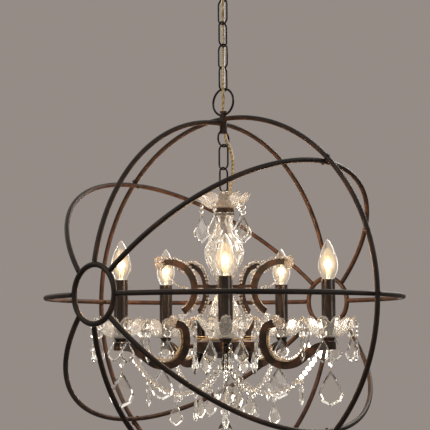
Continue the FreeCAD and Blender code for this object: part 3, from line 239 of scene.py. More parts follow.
class Finish:
    """A material and the few nodes that the finishes below are made of."""

    def __init__(self, name, **sockets):
        self.material = bpy.data.materials.new(name)
        self.material.use_nodes = True
        self.tree = self.material.node_tree
        self.shader = self.tree.nodes["Principled BSDF"]
        self.coordinates = self.node("ShaderNodeTexCoord").outputs["Object"]
        for socket, value in sockets.items():
            self.shader.inputs[socket.replace("_", " ")].default_value = value

    def node(self, kind, **settings):
        made = self.tree.nodes.new(kind)
        for key, value in settings.items():
            setattr(made, key, value)
        return made

    def link(self, output, target):
        self.tree.links.new(output, target)

    def noise(self, scale, detail):
        made = self.node("ShaderNodeTexNoise")
        made.inputs["Scale"].default_value = scale
        made.inputs["Detail"].default_value = detail
        made.inputs["Roughness"].default_value = NOISE_ROUGHNESS
        self.link(self.coordinates, made.inputs["Vector"])
        return made.outputs["Fac"]

    def ramp(self, factor, stops):
        made = self.node("ShaderNodeValToRGB")
        fill_ramp(made.color_ramp.elements, stops)
        self.link(factor, made.inputs["Fac"])
        return made.outputs["Color"]

    def span(self, factor, low, high, from_low=0.0, from_high=1.0):
        made = self.node("ShaderNodeMapRange")
        limits = {"From Min": from_low, "From Max": from_high, "To Min": low, "To Max": high}
        for socket, value in limits.items():
            made.inputs[socket].default_value = value
        self.link(factor, made.inputs["Value"])
        return made.outputs["Result"]

    def mix(self, factor, first, second):
        made = self.node("ShaderNodeMix", data_type="RGBA")
        self.link(factor, made.inputs["Factor"])
        self.link(first, made.inputs[6])
        self.link(second, made.inputs[7])
        return made.outputs[2]

    def bump(self, height, strength, distance):
        made = self.node("ShaderNodeBump")
        made.inputs["Strength"].default_value = strength
        made.inputs["Distance"].default_value = distance
        self.link(height, made.inputs["Height"])
        self.link(made.outputs["Normal"], self.shader.inputs["Normal"])

    def paint(self, colour):
        self.link(colour, self.shader.inputs["Base Color"])

    def roughen(self, factor, low, high):
        self.link(self.span(factor, low, high), self.shader.inputs["Roughness"])


# %% Iron
BLACK_BROWN = (0.0035, 0.0026, 0.0022)
DARK_BROWN = (0.011, 0.0065, 0.0045)
RUST = (0.045, 0.020, 0.011)
# the warmest rust tone, with the warm light of the bulbs painted into it
PAINTED_BULB_LIT_RUST = (0.085, 0.040, 0.023)
IRON_SHEEN = 0.2


def cage_iron():
    """Dark coat; painted warm bulb light in rust tones inside: inwards is minus the dot product of normal and
    orb radius.
    """
    finish = Finish("cage_iron", Metallic=0.2, Specular_IOR_Level=IRON_SHEEN)
    patches = finish.noise(22, 5)
    coat = finish.ramp(patches, [(0.3, BLACK_BROWN), (0.55, DARK_BROWN), (0.75, RUST)])
    rust = finish.ramp(finish.noise(55, 6), [(0.3, DARK_BROWN), (0.5, RUST), (0.72, PAINTED_BULB_LIT_RUST)])
    offset = finish.node("ShaderNodeVectorMath", operation="SUBTRACT")
    finish.link(finish.coordinates, offset.inputs[0])
    offset.inputs[1].default_value = ORB_CENTRE
    outward = finish.node("ShaderNodeVectorMath", operation="NORMALIZE")
    finish.link(offset.outputs[0], outward.inputs[0])
    geometry = finish.node("ShaderNodeTexCoord")
    facing = finish.node("ShaderNodeVectorMath", operation="DOT_PRODUCT")
    finish.link(outward.outputs[0], facing.inputs[0])
    finish.link(geometry.outputs["Normal"], facing.inputs[1])
    # painted light: the more a face turns in towards the bulbs, the more of the rust tones it gets
    inside = finish.span(facing.outputs["Value"], 0.85, 0.0, -0.7, 0.2)
    finish.paint(finish.mix(inside, coat, rust))
    finish.roughen(patches, 0.38, 0.62)
    finish.bump(finish.noise(420, 3), 0.25, 0.4 * MM)
    return finish.material


def brown_iron():
    """The iron inside the orb is browner all round: rust patches, and partly painted warm light of the nearby
    bulbs.
    """
    finish = Finish("brown_iron", Metallic=0.2, Specular_IOR_Level=IRON_SHEEN)
    patches = finish.noise(48, 6)
    # painted light in part: the browner, warmer tones stand for the bulbs' light as well as for rust
    finish.paint(finish.ramp(patches, [(0.28, BLACK_BROWN), (0.46, DARK_BROWN), (0.62, RUST),
                                       (0.82, PAINTED_BULB_LIT_RUST)]))
    finish.roughen(patches, 0.34, 0.6)
    finish.bump(finish.noise(380, 4), 0.3, 0.4 * MM)
    return finish.material


def chain_iron():
    """Links and rings: blacker and a little shinier than the rods."""
    finish = Finish("chain_iron", Metallic=0.3, Specular_IOR_Level=IRON_SHEEN)
    patches = finish.noise(120, 4)
    finish.paint(finish.ramp(patches, [(0.35, BLACK_BROWN), (0.62, DARK_BROWN), (0.85, RUST)]))
    finish.roughen(patches, 0.3, 0.5)
    finish.bump(finish.noise(500, 2), 0.2, 0.3 * MM)
    return finish.material


def sleeve_bronze():
    """Satin bronze paint with faint upright streaks: brushed grain, and partly painted highlights."""
    finish = Finish("sleeve_bronze", Metallic=0.6, Coat_Weight=0.35)
    stretch = finish.node("ShaderNodeMapping")
    stretch.inputs["Scale"].default_value = (1, 1, 0.06)
    finish.link(finish.coordinates, stretch.inputs["Vector"])
    finish.coordinates = stretch.outputs["Vector"]
    # the lighter upright streaks are partly painted highlights and partly brushed grain
    streaks = finish.noise(260, 4)
    finish.paint(finish.ramp(streaks, [(0.3, (0.012, 0.009, 0.007)), (0.6, (0.035, 0.022, 0.015)),
                                       (0.85, (0.11, 0.06, 0.035))]))
    finish.roughen(streaks, 0.2, 0.36)
    return finish.material


def zinc_steel():
    """The plated hardware at the ceiling."""
    finish = Finish("zinc_steel", Metallic=0.9)
    spangle = finish.noise(90, 3)
    finish.paint(finish.ramp(spangle, [(0.3, (0.42, 0.43, 0.44)), (0.7, (0.62, 0.61, 0.58))]))
    finish.roughen(spangle, 0.28, 0.45)
    return finish.material


def black_phenolic():
    """The moulded lampholders inside the sleeves."""
    finish = Finish("black_phenolic")
    speckle = finish.noise(300, 2)
    finish.paint(finish.ramp(speckle, [(0.4, (0.012, 0.011, 0.010)), (0.7, (0.03, 0.027, 0.025))]))
    finish.roughen(speckle, 0.35, 0.55)
    return finish.material


def wire_brown():
    """The cover of the wires inside the arms."""
    finish = Finish("wire_brown")
    speckle = finish.noise(200, 3)
    finish.paint(finish.ramp(speckle, [(0.3, (0.06, 0.035, 0.018)), (0.7, (0.12, 0.075, 0.035))]))
    finish.roughen(speckle, 0.3, 0.45)
    return finish.material


def brass_wire(name, tarnished, bright):
    """Small brass between its two colours, in fine patches."""
    finish = Finish(name, Metallic=1.0)
    tarnish = finish.noise(160, 3)
    finish.paint(finish.ramp(tarnish, [(0.3, tarnished), (0.6, bright)]))
    finish.roughen(tarnish, 0.18, 0.4)
    return finish.material


# %% [markdown]
# Crystal, beads and pressed glass are the same substance with another surface. All let light through
# with almost no colour of their own; a faint warm cast and a slight unevenness keep them from looking
# like a perfect computer solid. Old pressed glass and tiny beads also scatter a little, so a share of
# them is white. A faint warm painted glow in all of this glass stands for the lamp light it catches
# around the lit bulbs. The light from the lamps has to reach the iron through the glass, so it casts no
# shadow: a clear crystal hardly has one.

# %% Glass and cord


def clear_glass(name, tint, rough_low, rough_high, refraction, clear, painted_glow, ripple=0.0):
    """clear is the share that lets light through, and the emission a faint warm painted glow: lamp light
    painted into the glass.
    """
    finish = Finish(name, Transmission_Weight=clear, IOR=refraction, Emission_Strength=painted_glow)
    # painted glow: the glass's own faint warm emission stands for the light of the bulbs it catches
    finish.shader.inputs["Emission Color"].default_value = (1.0, 0.80, 0.56, 1)
    cast = finish.noise(70, 2)
    finish.paint(finish.ramp(cast, [(0.35, (1.0, 0.99, 0.97)), (0.75, tint)]))
    finish.roughen(cast, rough_low, rough_high)
    if ripple:
        finish.bump(finish.noise(150, 2), ripple, 0.5 * MM)
    return finish.material


def gold_cord():
    """A clear gold jacket over two twisted wires, which show as slanted bands on an upright cord."""
    finish = Finish("gold_cord", Coat_Weight=0.6, Coat_Roughness=0.08)
    wave = finish.node("ShaderNodeTexWave", bands_direction="DIAGONAL")
    wave.inputs["Scale"].default_value = 85
    finish.link(finish.coordinates, wave.inputs["Vector"])
    finish.paint(finish.ramp(wave.outputs["Fac"], [(0.1, (0.17, 0.12, 0.040)), (0.5, (0.26, 0.19, 0.075)),
                                                   (0.9, (0.34, 0.26, 0.12))]))
    finish.roughen(finish.noise(120, 3), 0.16, 0.3)
    return finish.material


def glow(name, colour, strength, cover=None):
    """A lit surface. Its colour wanders a little, as a hot wire's does.

    A halo is see-through: its cover, where it is seen square on, falls to nothing at its outline.
    """
    finish = Finish(name, Emission_Strength=strength, Roughness=1.0)
    brighter = tuple(min(1, c * 1.15) for c in colour)
    wander = finish.ramp(finish.noise(220, 2), [(0.3, colour), (0.7, brighter)])
    finish.link(wander, finish.shader.inputs["Emission Color"])
    finish.shader.inputs["Base Color"].default_value = (0, 0, 0, 1)
    if cover:
        edge = finish.node("ShaderNodeLayerWeight")
        edge.inputs["Blend"].default_value = 0.5
        finish.link(finish.span(edge.outputs["Facing"], cover, 0.0, 0.0, 0.85), finish.shader.inputs["Alpha"])
    return finish.material


CAGE, IRON, CHAIN = cage_iron(), brown_iron(), chain_iron()
BRASS = brass_wire("brass_wire", (0.30, 0.19, 0.07), (0.75, 0.52, 0.22))
AGED_BRASS = brass_wire("aged_brass", (0.07, 0.04, 0.02), (0.32, 0.20, 0.08))
CRYSTAL = clear_glass("cut_crystal", (1.0, 0.97, 0.9), 0.0, 0.015, 1.5, 1.0, 0.008)
BEAD_GLASS = clear_glass("bead_glass", (1.0, 0.96, 0.88), 0.0, 0.03, 1.6, 0.96, 0.006)
VASE_GLASS = clear_glass("vase_glass", (1.0, 0.96, 0.88), 0.0, 0.05, 1.45, 0.97, 0.006, 0.5)
PRESSED = clear_glass("pressed_glass", (1.0, 0.96, 0.89), 0.01, 0.08, 1.45, 0.94, 0.006, 0.2)
LAMP_GLASS = clear_glass("lamp_glass", (1.0, 0.97, 0.92), 0.0, 0.02, 1.45, 1.0, 0.028)
CORD = gold_cord()
BY_SLOT = {"rust_iron": IRON, "zinc_steel": zinc_steel(), "bronze_sleeve": sleeve_bronze(),
           "phenolic": black_phenolic(), "gold_cord": CORD, "wire_cover": wire_brown(),
           "pressed_glass": PRESSED, "bulb_glass": LAMP_GLASS, "cut_crystal": CRYSTAL}


SLOT_NODES = {"zinc_steel": ("ceiling_crossbar", "canopy_nipple"), "bronze_sleeve": ("candle_sleeves",),
              "phenolic": ("lampholders",), "gold_cord": ("lamp_cord_upper", "lamp_cord_inner"),
              "wire_cover": ("arm_wires",),
              "pressed_glass": ("top_dish", "upper_vase", "lower_vase", "bobeches"),
              "bulb_glass": tuple(n for n in NODES if n.startswith("bulb_")),
              "cut_crystal": ("top_pendants", "pan_pendants", "arm_prisms", "hub_drops", "bead_swags",
                              "scroll_rosettes", "crystal_ball")}


def dress_nodes():
    """Gives each carried-over node the finish of its slot; the iron also goes by where it is."""
    slots = {node: slot for slot, nodes in SLOT_NODES.items() for node in nodes}
    hanging = ("chain", "canopy_loop", "orb_ring", "inner_ring", "ceiling_canopy")
    cage = ("rod_", "cross_ring", "hub_ring", "top_stem", "ring_rivets", "bottom_bolt")
    for name, obj in NODES.items():
        slot = slots.get(name, "rust_iron")
        finish = BY_SLOT[slot]
        if slot == "rust_iron" and any(word in name for word in hanging):
            finish = CHAIN
        if slot == "rust_iron" and name.startswith(cage):
            finish = CAGE
        obj.data.materials.clear()
        obj.data.materials.append(finish)
        if slot in ("pressed_glass", "bulb_glass", "cut_crystal"):
            obj.visible_shadow = False
    print("dressed %d nodes" % len(NODES))


dress_nodes()

# %% [markdown]
# ## The lamp cords
#
# A lamp cord weaves down the chain, in front of one crossing and behind the next, and a second one
# comes out of the stem and swings wide of the short chain. A NURBS curve through a few control points
# is how a limp cord lies: smooth, with no corners. Both cords swing with the chain beside them. The upper
# one goes from the nipple at the ceiling to the top of the stem, the lower one from the stem's foot to
# the chandelier's cap.

# %% Lamp cords
CORD_DIAMETER = 0.0055
UPPER_ROUTE = [(0, 0, -0.030), (0, 0, -0.0505), (-0.0075, -0.0065, -0.06725), (-0.0075, -0.0065, -0.1087),
               (0.0095, 0.007, -0.15015), (0.0095, 0.007, -0.1916), (-0.0075, -0.0065, -0.23305),
               (-0.0075, -0.0065, -0.2745), (0, 0, -0.2975), (0, 0, -0.31225)]
INNER_ROUTE = [(0.0024, -0.0030, -0.35275), (0.0024, -0.0030, -0.36375), (0.0087, -0.0098, -0.38175),
               (0.0116, -0.0129, -0.40475), (0.0106, -0.0118, -0.42975), (0.0076, -0.0084, -0.45075),
               (0.0065, -0.0073, -0.46375), (0.0065, -0.0073, -0.4753)]


def lamp_cord(name, route, body, replaced):
    """A NURBS curve of order 3 through its first and last control point, with a round section."""
    curve = bpy.data.curves.new(name, "CURVE")
    curve.dimensions = "3D"
    spline = curve.splines.new("NURBS")
    spline.points.add(len(route) - 1)
    for point, place in zip(spline.points, route):
        point.co = (*place, 1)
    spline.order_u = 3
    spline.use_endpoint_u = True
    spline.resolution_u = 12
    curve.bevel_depth = CORD_DIAMETER / 2
    curve.bevel_resolution = 5
    curve.use_fill_caps = True
    curve.materials.append(CORD)
    obj = bpy.data.objects.new(name, curve)
    bpy.context.scene.collection.objects.link(obj)
    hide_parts(replaced)
    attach(obj, body)
    print(name, "%.1f mm between its ends" % ((Vector(route[0]) - Vector(route[-1])).length / MM))


lamp_cord("upper_lamp_cord", UPPER_ROUTE, "chain", "lamp_cord_upper")
lamp_cord("inner_lamp_cord", INNER_ROUTE, "inner_links", "lamp_cord_inner")

# %% [markdown]
# ## Petalled glass dishes
#
# Under each candle and at the top of the column is a dish pressed in clear glass, with leaf-like
# petals that curl up. The dish is one closed profile turned round its axis; a formula of the angle then
# pulls the rim in between the petals, raises their tips and presses a few veins into each.

# %% Petal dishes
PETALS = 12
ARM_COUNT = 5
ARM_NAMES = ("front", "right", "back_right", "back_left", "left")


def node_middle(name):
    """The middle of a node's box."""
    low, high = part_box(name)
    return (Vector(low) + Vector(high)) / 2


CANDLES = [node_middle("bulb_" + name) for name in ARM_NAMES]
BEARINGS = [math.atan2(c.y, c.x) for c in CANDLES]


def petal_dish(radius, height, hole, foot, thickness, turn):
    """z rises as share^2.2; lobe = |cos(petals * angle / 2)|^0.6 is 1 on the line of each petal."""
    share = np.linspace(0, 1, 16)
    below = np.stack([foot + (radius - foot) * share, height * (0.12 * share + 0.88 * share ** 2.2)], -1)
    wall = thickness * (1 - 0.62 * share)[:, None] * np.array([-0.25, 1.0])
    above = (below + wall)[::-1]
    profile = np.vstack([[hole, 0], below, above, [hole, thickness]])
    near_rim = np.clip((profile[:, 0] - foot) / (radius - foot), 0, 1)[:, None]

    def shape(r, angle, z):
        lobe = np.abs(np.cos(PETALS * (angle - turn) / 2)) ** 0.6
        cut = near_rim ** 3 * (1 - lobe)
        veins = 0.013 * height * np.cos(PETALS * 4 * (angle - turn)) * near_rim
        return r * (1 - 0.28 * cut) * (1 - 0.03 * near_rim ** 6 * lobe), angle, z * (1 - 0.42 * cut) + veins

    rings = turned_rings(profile, PETALS * 24, shape)
    return rings, grid_faces(*rings.shape[:2], True, True)


def dishes(name, node, places, radius, height, hole, foot, thickness):
    """Copies of one dish at several places, as one piece."""
    shapes = []
    for place, turn in places:
        rings, quads = petal_dish(radius, height, hole, foot, thickness, turn)
        shapes.append((rings.reshape(-1, 3) + np.array(place), quads.tolist()))
    obj = clean(mesh_object(name, *joined(shapes), PRESSED))
    glass_in_place(obj, node)
    print(name, len(obj.data.polygons), "faces")


BOBECHE_LOW, BOBECHE_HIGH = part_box("bobeches")
DISH_LOW, DISH_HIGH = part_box("top_dish")
dishes("petal_bobeches", "bobeches", [((c.x, c.y, BOBECHE_LOW.z), b) for c, b in zip(CANDLES, BEARINGS)],
       48 * MM, 35.5 * MM, 4.4 * MM, 13 * MM, 3.4 * MM)
dishes("petal_top_dish", "top_dish", [((0, 0, DISH_LOW.z), BEARINGS[0])], 50 * MM, 26.5 * MM, 5.4 * MM,
       17 * MM, 3.2 * MM)

# %% [markdown]
# ## Fluted vases
#
# The middle column wears two hollow glass vases, cut with slanting flutes that cross like a lattice. A
# bump map could fake the cuts, but glass bends what is seen through it, so the flutes are in the mesh.

# %% Vases
FLUTES = 12


def fluted_vase(name, node, outline, thickness, hole, twist):
    """Radius times 1 - 0.1 (1 - half the sum of two slanting |sine| waves); the inside stays smooth."""
    low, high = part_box(node)
    tall = high.z - low.z
    line = smooth_line([(r, z * tall / MM) for r, z in outline], 44) * MM
    outer = len(line)
    inside = np.stack([np.maximum(line[3:-3, 0] - thickness, hole), line[3:-3, 1]], -1)[::-1]
    inside[0, 1] -= thickness / 2
    inside[-1, 1] += thickness / 2
    profile = np.vstack([[hole, 0], line, [hole, tall], inside, [hole, thickness]])
    cut = np.zeros((len(profile), 1))
    cut[3:outer - 2] = 1

    def shape(r, angle, z):
        slant = twist * z / tall
        waves = np.abs(np.sin(FLUTES * angle / 2 + slant)) + np.abs(np.sin(FLUTES * angle / 2 - slant))
        return r * (1 - 0.10 * cut * (1 - waves / 2)), angle, z

    rings = turned_rings(profile, FLUTES * 14, shape)
    rings[..., 2] += low.z
    obj = clean(mesh_object(name, rings, grid_faces(*rings.shape[:2], True, True), VASE_GLASS))
    glass_in_place(obj, node)
    print(name, len(obj.data.polygons), "faces")


fluted_vase("fluted_upper_vase", "upper_vase",
            [(14.8, 0), (15, 0.05), (27, 0.22), (36.5, 0.42), (33.8, 0.54), (20.8, 0.75), (16, 0.87),
             (18.6, 0.95), (18.8, 1)], 3 * MM, 5.4 * MM, 9.0)
fluted_vase("fluted_lower_vase", "lower_vase",
            [(25.8, 0), (25.8, 0.06), (21, 0.16), (30.6, 0.4), (26.2, 0.6), (16, 0.85), (17, 0.94), (17, 1)],
            3 * MM, 5.4 * MM, 6.0)

# %% [markdown]
# ## Lit candle bulbs
#
# Each bulb is a thin pointed envelope over a brass screw cap. Inside, a glass mount holds a hairpin of
# glowing wire. A camera blooms round such a wire; the renderer doesn't, so two clear, faintly lit
# skins round the wire stand for the halo. They are solid objects, so the halo looks the same from
# every side.

# %% Bulbs
BULB_HEIGHT, BULB_RADIUS, NECK_RADIUS, LAMP_WALL = 69 * MM, 17.4 * MM, 9.9 * MM, 0.7 * MM
ENVELOPE = [(NECK_RADIUS, 0), (NECK_RADIUS * 1.25, 0.08), (BULB_RADIUS * 0.94, 0.22), (BULB_RADIUS, 0.34),
            (BULB_RADIUS * 0.93, 0.5), (BULB_RADIUS * 0.66, 0.72), (BULB_RADIUS * 0.33, 0.89),
            (BULB_RADIUS * 0.1, 0.975), (0, 1.0)]
CAP_PROFILE = [(0, -17), (4, -16.8), (5.2, -15.5), (5.9, -14), (5.4, -12.7), (5.9, -11.4), (5.4, -10.1),
               (5.9, -8.8), (5.4, -7.5), (5.9, -6.2), (5.4, -5), (5.9, -3.8), (8.9, -1.5), (9.1, -0.1),
               (0, -0.1)]
MOUNT_PROFILE = [(0, 0), (4.5, 0.5), (3.2, 5), (1.6, 12), (1.1, 19), (0, 20)]
HAIRPIN = [(-4, 14), (-4.4, 22), (-2.8, 31), (-1.3, 23), (0, 32), (1.3, 23), (2.8, 31), (4.4, 22), (4, 14)]
LAMP_POWER, LAMP_COLOUR, LAMP_SOFTNESS, LAMP_RISE = 0.8, (1.0, 0.62, 0.32), 7 * MM, 26 * MM
CORE = glow("wire_glow", (1.0, 0.80, 0.48), 12.0)
HALO = glow("inner_halo", (1.0, 0.74, 0.38), 2.4, 0.5)
OUTER_HALO = glow("outer_halo", (1.0, 0.66, 0.32), 1.1, 0.3)


def spindle(radius, bottom, top):
    """The profile of an egg: radius times sin(pi * share)^0.8 from bottom to top."""
    share = np.linspace(0, 1, 14)
    return np.stack([radius * np.sin(np.pi * share) ** 0.8, bottom + (top - bottom) * share], -1)


def bulb(name, body):
    """Glass, cap, mount, hairpin, two halos and a point light, all on the bulb's body."""
    low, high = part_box(body.replace("lamp_", "bulb_"))
    foot = np.array([(low.x + high.x) / 2, (low.y + high.y) / 2, high.z - BULB_HEIGHT])
    line = smooth_line([(r, s * BULB_HEIGHT) for r, s in ENVELOPE], 40)
    inner = (line * [1 - LAMP_WALL / BULB_RADIUS, 1 - LAMP_WALL / BULB_HEIGHT])[::-1]
    glass = turned_piece(name + "_envelope", np.vstack([inner, line]), 40, foot, LAMP_GLASS)
    glass.visible_shadow = False
    cap = turned_piece(name + "_cap", np.array(CAP_PROFILE) * MM, 32, foot, BRASS)
    mount = turned_piece(name + "_mount", np.array(MOUNT_PROFILE) * MM, 16, foot, LAMP_GLASS)
    across = math.atan2(foot[1], foot[0]) + math.pi / 2
    corners = [(x * math.cos(across), x * math.sin(across), z) for x, z in HAIRPIN]
    points, faces = tube(smooth_line(corners, 60) * MM + foot, 0.45 * MM)
    wire = clean(mesh_object(name + "_wire", points, faces, CORE))
    inner_halo = turned_piece(name + "_inner_halo", spindle(6.5 * MM, 10 * MM, 40 * MM), 24, foot, HALO)
    outer_halo = turned_piece(name + "_outer_halo", spindle(14.5 * MM, 1.5 * MM, 56 * MM), 24, foot,
                              OUTER_HALO)
    for piece in (mount, wire, inner_halo, outer_halo):
        piece.visible_shadow = False
    for piece in (glass, cap, mount, wire, inner_halo, outer_halo):
        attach(piece, body)
    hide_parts(body.replace("lamp_", "bulb_"))
    lamp = bpy.data.objects.new(name + "_light", bpy.data.lights.new(name + "_light", "POINT"))
    lamp.data.energy = LAMP_POWER
    lamp.data.color = LAMP_COLOUR
    lamp.data.shadow_soft_size = LAMP_SOFTNESS
    lamp.location = foot + np.array([0, 0, LAMP_RISE])
    lamp.visible_camera = False
    bpy.context.scene.collection.objects.link(lamp)
    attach(lamp, body)


for arm in ARM_NAMES:
    bulb("candle_" + arm, "lamp_" + arm)
print("five bulbs lit")

# %% [markdown]
# ## Cut crystals
#
# A chandelier crystal is a flat plate of glass with a narrow slanted border on both sides: one sees
# through the flat middle, and the border flashes. The solids have the right outline and place, with
# plain facets. Here each solid is found in its node and cut again in its own place: the points of a
# node are sorted into separate stones, each is measured, and a stone of that size gets its facets.

# %% Reading and cutting stones
KITE = ((0, 0), (0.5, 0.60), (0.46, 0.75), (0, 1))
PEAR = ((0, 0), (0.2, 0.22), (0.42, 0.5), (0.5, 0.68), (0.38, 0.87), (0, 1))
SPEAR = ((0.14, 0), (0.5, 0.10), (0.32, 0.28), (0.5, 0.74), (0, 1))
OCTAGON = ((0.21, 0), (0.5, 0.29), (0.5, 0.71), (0.21, 1))
TABLE_SHARE, GIRDLE_SHARE = 0.78, 0.14


def stones(node):
    """The separate stones of a node, as a list of point arrays: touching triangles get one label.

    Labels spread by taking the least label of each triangle's corners until nothing changes.
    """
    mesh = NODES[node].data
    mesh.calc_loop_triangles()
    points = np.array([v.co for v in mesh.vertices])
    corners = np.array([t.vertices for t in mesh.loop_triangles])
    unique, back = np.unique(np.round(points / 1e-5).astype(int), axis=0, return_inverse=True)
    corners = back.ravel()[corners]
    label = np.arange(len(unique))
    while True:
        least = label[corners].min(axis=1)
        spread = label.copy()
        np.minimum.at(spread, corners.ravel(), np.repeat(least, 3))
        if (spread == label).all():
            break
        label = spread
    return [unique[label == k] * 1e-5 for k in np.unique(label)]


def measured(stone):
    """(place of the top, normal, width, height, depth): the widest level direction is its face's."""
    low, high = stone.min(0), stone.max(0)
    level = stone[:, :2] - (low[:2] + high[:2]) / 2
    axes = np.linalg.svd(level, full_matrices=False)[2]
    top = np.array([*(low[:2] + high[:2]) / 2, high[2]])
    return top, np.array([*axes[1], 0]), np.ptp(level @ axes[0]), high[2] - low[2], np.ptp(level @ axes[1])


def cut_stone(outline, top, normal, width, height, depth):
    """Four rings with the outline's shape: flat table, slanted border, girdle, and the same behind."""
    right = list(outline)
    left = [(-x, d) for x, d in reversed(outline) if x > 0]
    ring = np.array(right + left, float) * [width, height]
    middle = np.array([0, ring[:, 1].mean()])
    table = middle + (ring - middle) * TABLE_SHARE
    side = np.cross(normal, [0, 0, 1.0])
    rows = []
    for flat, out in ((table, 0.5), (ring, GIRDLE_SHARE / 2), (ring, -GIRDLE_SHARE / 2), (table, -0.5)):
        rows.append(top + flat[:, :1] * side + out * depth * normal - flat[:, 1:] * [0, 0, 1.0])
    n = len(ring)
    faces = grid_faces(4, n, False, True).tolist() + [list(range(n))[::-1], list(range(3 * n, 4 * n))]
    return np.vstack(rows), faces


BEAD_SIDES = 6


def bead_points():
    """A bead of radius 1: two rings at plus and minus 0.42 and a point at each end."""
    angle = np.arange(BEAD_SIDES) * 2 * np.pi / BEAD_SIDES
    ring = np.stack([np.cos(angle), np.sin(angle)], -1) * 0.92
    upper = np.c_[ring, np.full(BEAD_SIDES, 0.42)]
    lower = np.c_[ring, np.full(BEAD_SIDES, -0.42)]
    faces = grid_faces(2, BEAD_SIDES, False, True)
    after = (np.arange(BEAD_SIDES) + 1) % BEAD_SIDES
    fan_up = np.stack([np.arange(BEAD_SIDES), after, np.full(BEAD_SIDES, 2 * BEAD_SIDES)], -1)
    fan_down = np.stack([after, np.arange(BEAD_SIDES), np.full(BEAD_SIDES, 2 * BEAD_SIDES + 1)], -1)
    fan_down[:, :2] += BEAD_SIDES
    points = np.vstack([upper, lower, [[0, 0, 1], [0, 0, -1]]])
    return points, np.vstack([faces[:, [0, 1, 2]], faces[:, [0, 2, 3]], fan_up, fan_down])


def recut(node, material, faces_photo=None):
    """One piece with a new stone for each solid of the node.

    Stones of the outline faces_photo are turned on their pins to show their face, as the photographed
    pendants do.
    """
    bead, bead_faces = bead_points()
    shapes, found = [], stones(node)
    for number, stone in enumerate(found):
        top, normal, width, height, depth = measured(stone)
        ratio = width / height
        if height > 16 * MM:
            outline = PEAR if ratio > 0.66 else KITE if ratio > 0.4 else SPEAR
        else:
            outline = OCTAGON if depth < 0.7 * width and height > 9 * MM else None
        if outline is None:
            ring = top - [0, 0, height / 2] + bead * [width / 2, width / 2, height / 2]
            quads = bead_faces.tolist()
        else:
            if outline is faces_photo:
                turn = LOOK_BEARING + 0.42 * math.sin(2.3 * number + 1)
                normal = np.array([math.cos(turn), math.sin(turn), 0])
            thick = depth * (0.62 if outline in (KITE, PEAR) else 0.9)
            ring, quads = cut_stone(outline, top, normal, width, height, thick)
        shapes.append((ring, quads))
    obj = clean(mesh_object("cut_" + node, *joined(shapes), material, False), 1e-7)
    glass_in_place(obj, node)
    print("cut_" + node, len(found), "stones")


recut("top_pendants", CRYSTAL, KITE)
recut("arm_prisms", CRYSTAL, PEAR)
recut("pan_pendants", CRYSTAL)
recut("hub_drops", CRYSTAL)
recut("bead_swags", BEAD_GLASS)

# %% [markdown]
# Crystals are strung with small loops of brass wire through holes at their tips, so a loop goes to the
# top of each stone.

# %% Crystal pins


def wire_loops(name, centres, normals, radius, wire, body, around=10, sides=5, metal=BRASS):
    """Small rings: a ring's point is centre + (R + r cos b)(cos a U + sin a V) + r sin b N."""
    centres, normals = np.asarray(centres, float), np.asarray(normals, float)
    normals /= np.linalg.norm(normals, axis=1, keepdims=True)
    u = np.cross(normals, np.where(np.abs(normals[:, 2:]) > 0.9, [[1.0, 0, 0]], [[0, 0, 1.0]]))
    u /= np.linalg.norm(u, axis=1, keepdims=True)
    v = np.cross(normals, u)
    a = np.linspace(0, 2 * np.pi, around, endpoint=False)[None, :, None, None]
    b = np.linspace(0, 2 * np.pi, sides, endpoint=False)[None, None, :, None]
    flat = np.cos(a) * u[:, None, None] + np.sin(a) * v[:, None, None]
    outwards = (radius + wire * np.cos(b)) * flat
    rings = centres[:, None, None] + outwards + wire * np.sin(b) * normals[:, None, None]
    faces = many(grid_faces(around, sides, True, True), len(centres), around * sides)
    obj = clean(mesh_object(name, rings, faces, metal), 1e-7)
    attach(obj, body)
    print(name, len(centres), "loops")


def crystal_pins():
    """A loop at the top of each stone, each turned to another side."""
    for node in ("top_pendants", "pan_pendants", "arm_prisms", "hub_drops", "crystal_ball"):
        body = "ball" if node == "crystal_ball" else "chandelier"
        tops = np.array([s[s[:, 2].argmax()] for s in stones(node)])
        facing = np.arange(len(tops)) * 2.4
        normals = np.stack([np.cos(facing), np.sin(facing), 0 * facing], -1)
        wire_loops(node + "_pins", tops + [0, 0, 0.2 * MM], normals, 1.6 * MM, 0.38 * MM, body)


crystal_pins()

# %% [markdown]
# ## Beads
#
# Tiny faceted beads are everywhere on this chandelier: in a rosette round the tip of each scroll, on a
# short chain inside it, along the arms' bends and in the swags below. Each is a six-sided bead with a
# point at both ends and flat shading, so every facet flashes by itself. The beads of one piece are made
# as one array.

# %% Beads


def bead_set(name, centres, radius, material):
    """The bead at each centre, turned a little differently each time round the vertical."""
    shape, faces = bead_points()
    centres = np.asarray(centres, float)
    turn = np.arange(len(centres)) * 1.7
    c, s = np.cos(turn)[:, None], np.sin(turn)[:, None]
    x, y, z = (shape[None, :, i] for i in range(3))
    turned = np.stack([x * c - y * s, x * s + y * c, z + 0 * c], -1)
    scale = np.broadcast_to(np.asarray(radius, float), (len(centres),))[:, None, None]
    points = centres[:, None] + turned * scale
    obj = clean(mesh_object(name, points, many(faces, len(centres), len(shape)), material, False), 1e-7)
    obj.visible_shadow = material is BRASS
    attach(obj, "chandelier")
    print(name, len(centres), "beads")
    return obj


def bead_wires(name, centres, radius):
    """A thin aged brass wire round each bead, each in another plane."""
    turn = np.arange(len(centres)) * 1.3
    normals = np.stack([np.cos(turn), np.sin(turn), 0.4 + 0 * turn], -1)
    wire_loops(name, centres, normals, radius, 0.32 * MM, "chandelier", 8, 4, AGED_BRASS)


ROSETTE_RINGS = ((13, 11.2, 0.0, 2.5), (10, 9.0, 4.2, 2.2), (10, 9.0, -4.2, 2.2), (8, 6.2, 1.6, 2.3),
                 (6, 4.6, 5.4, 2.0), (6, 4.6, -5.4, 2.0))


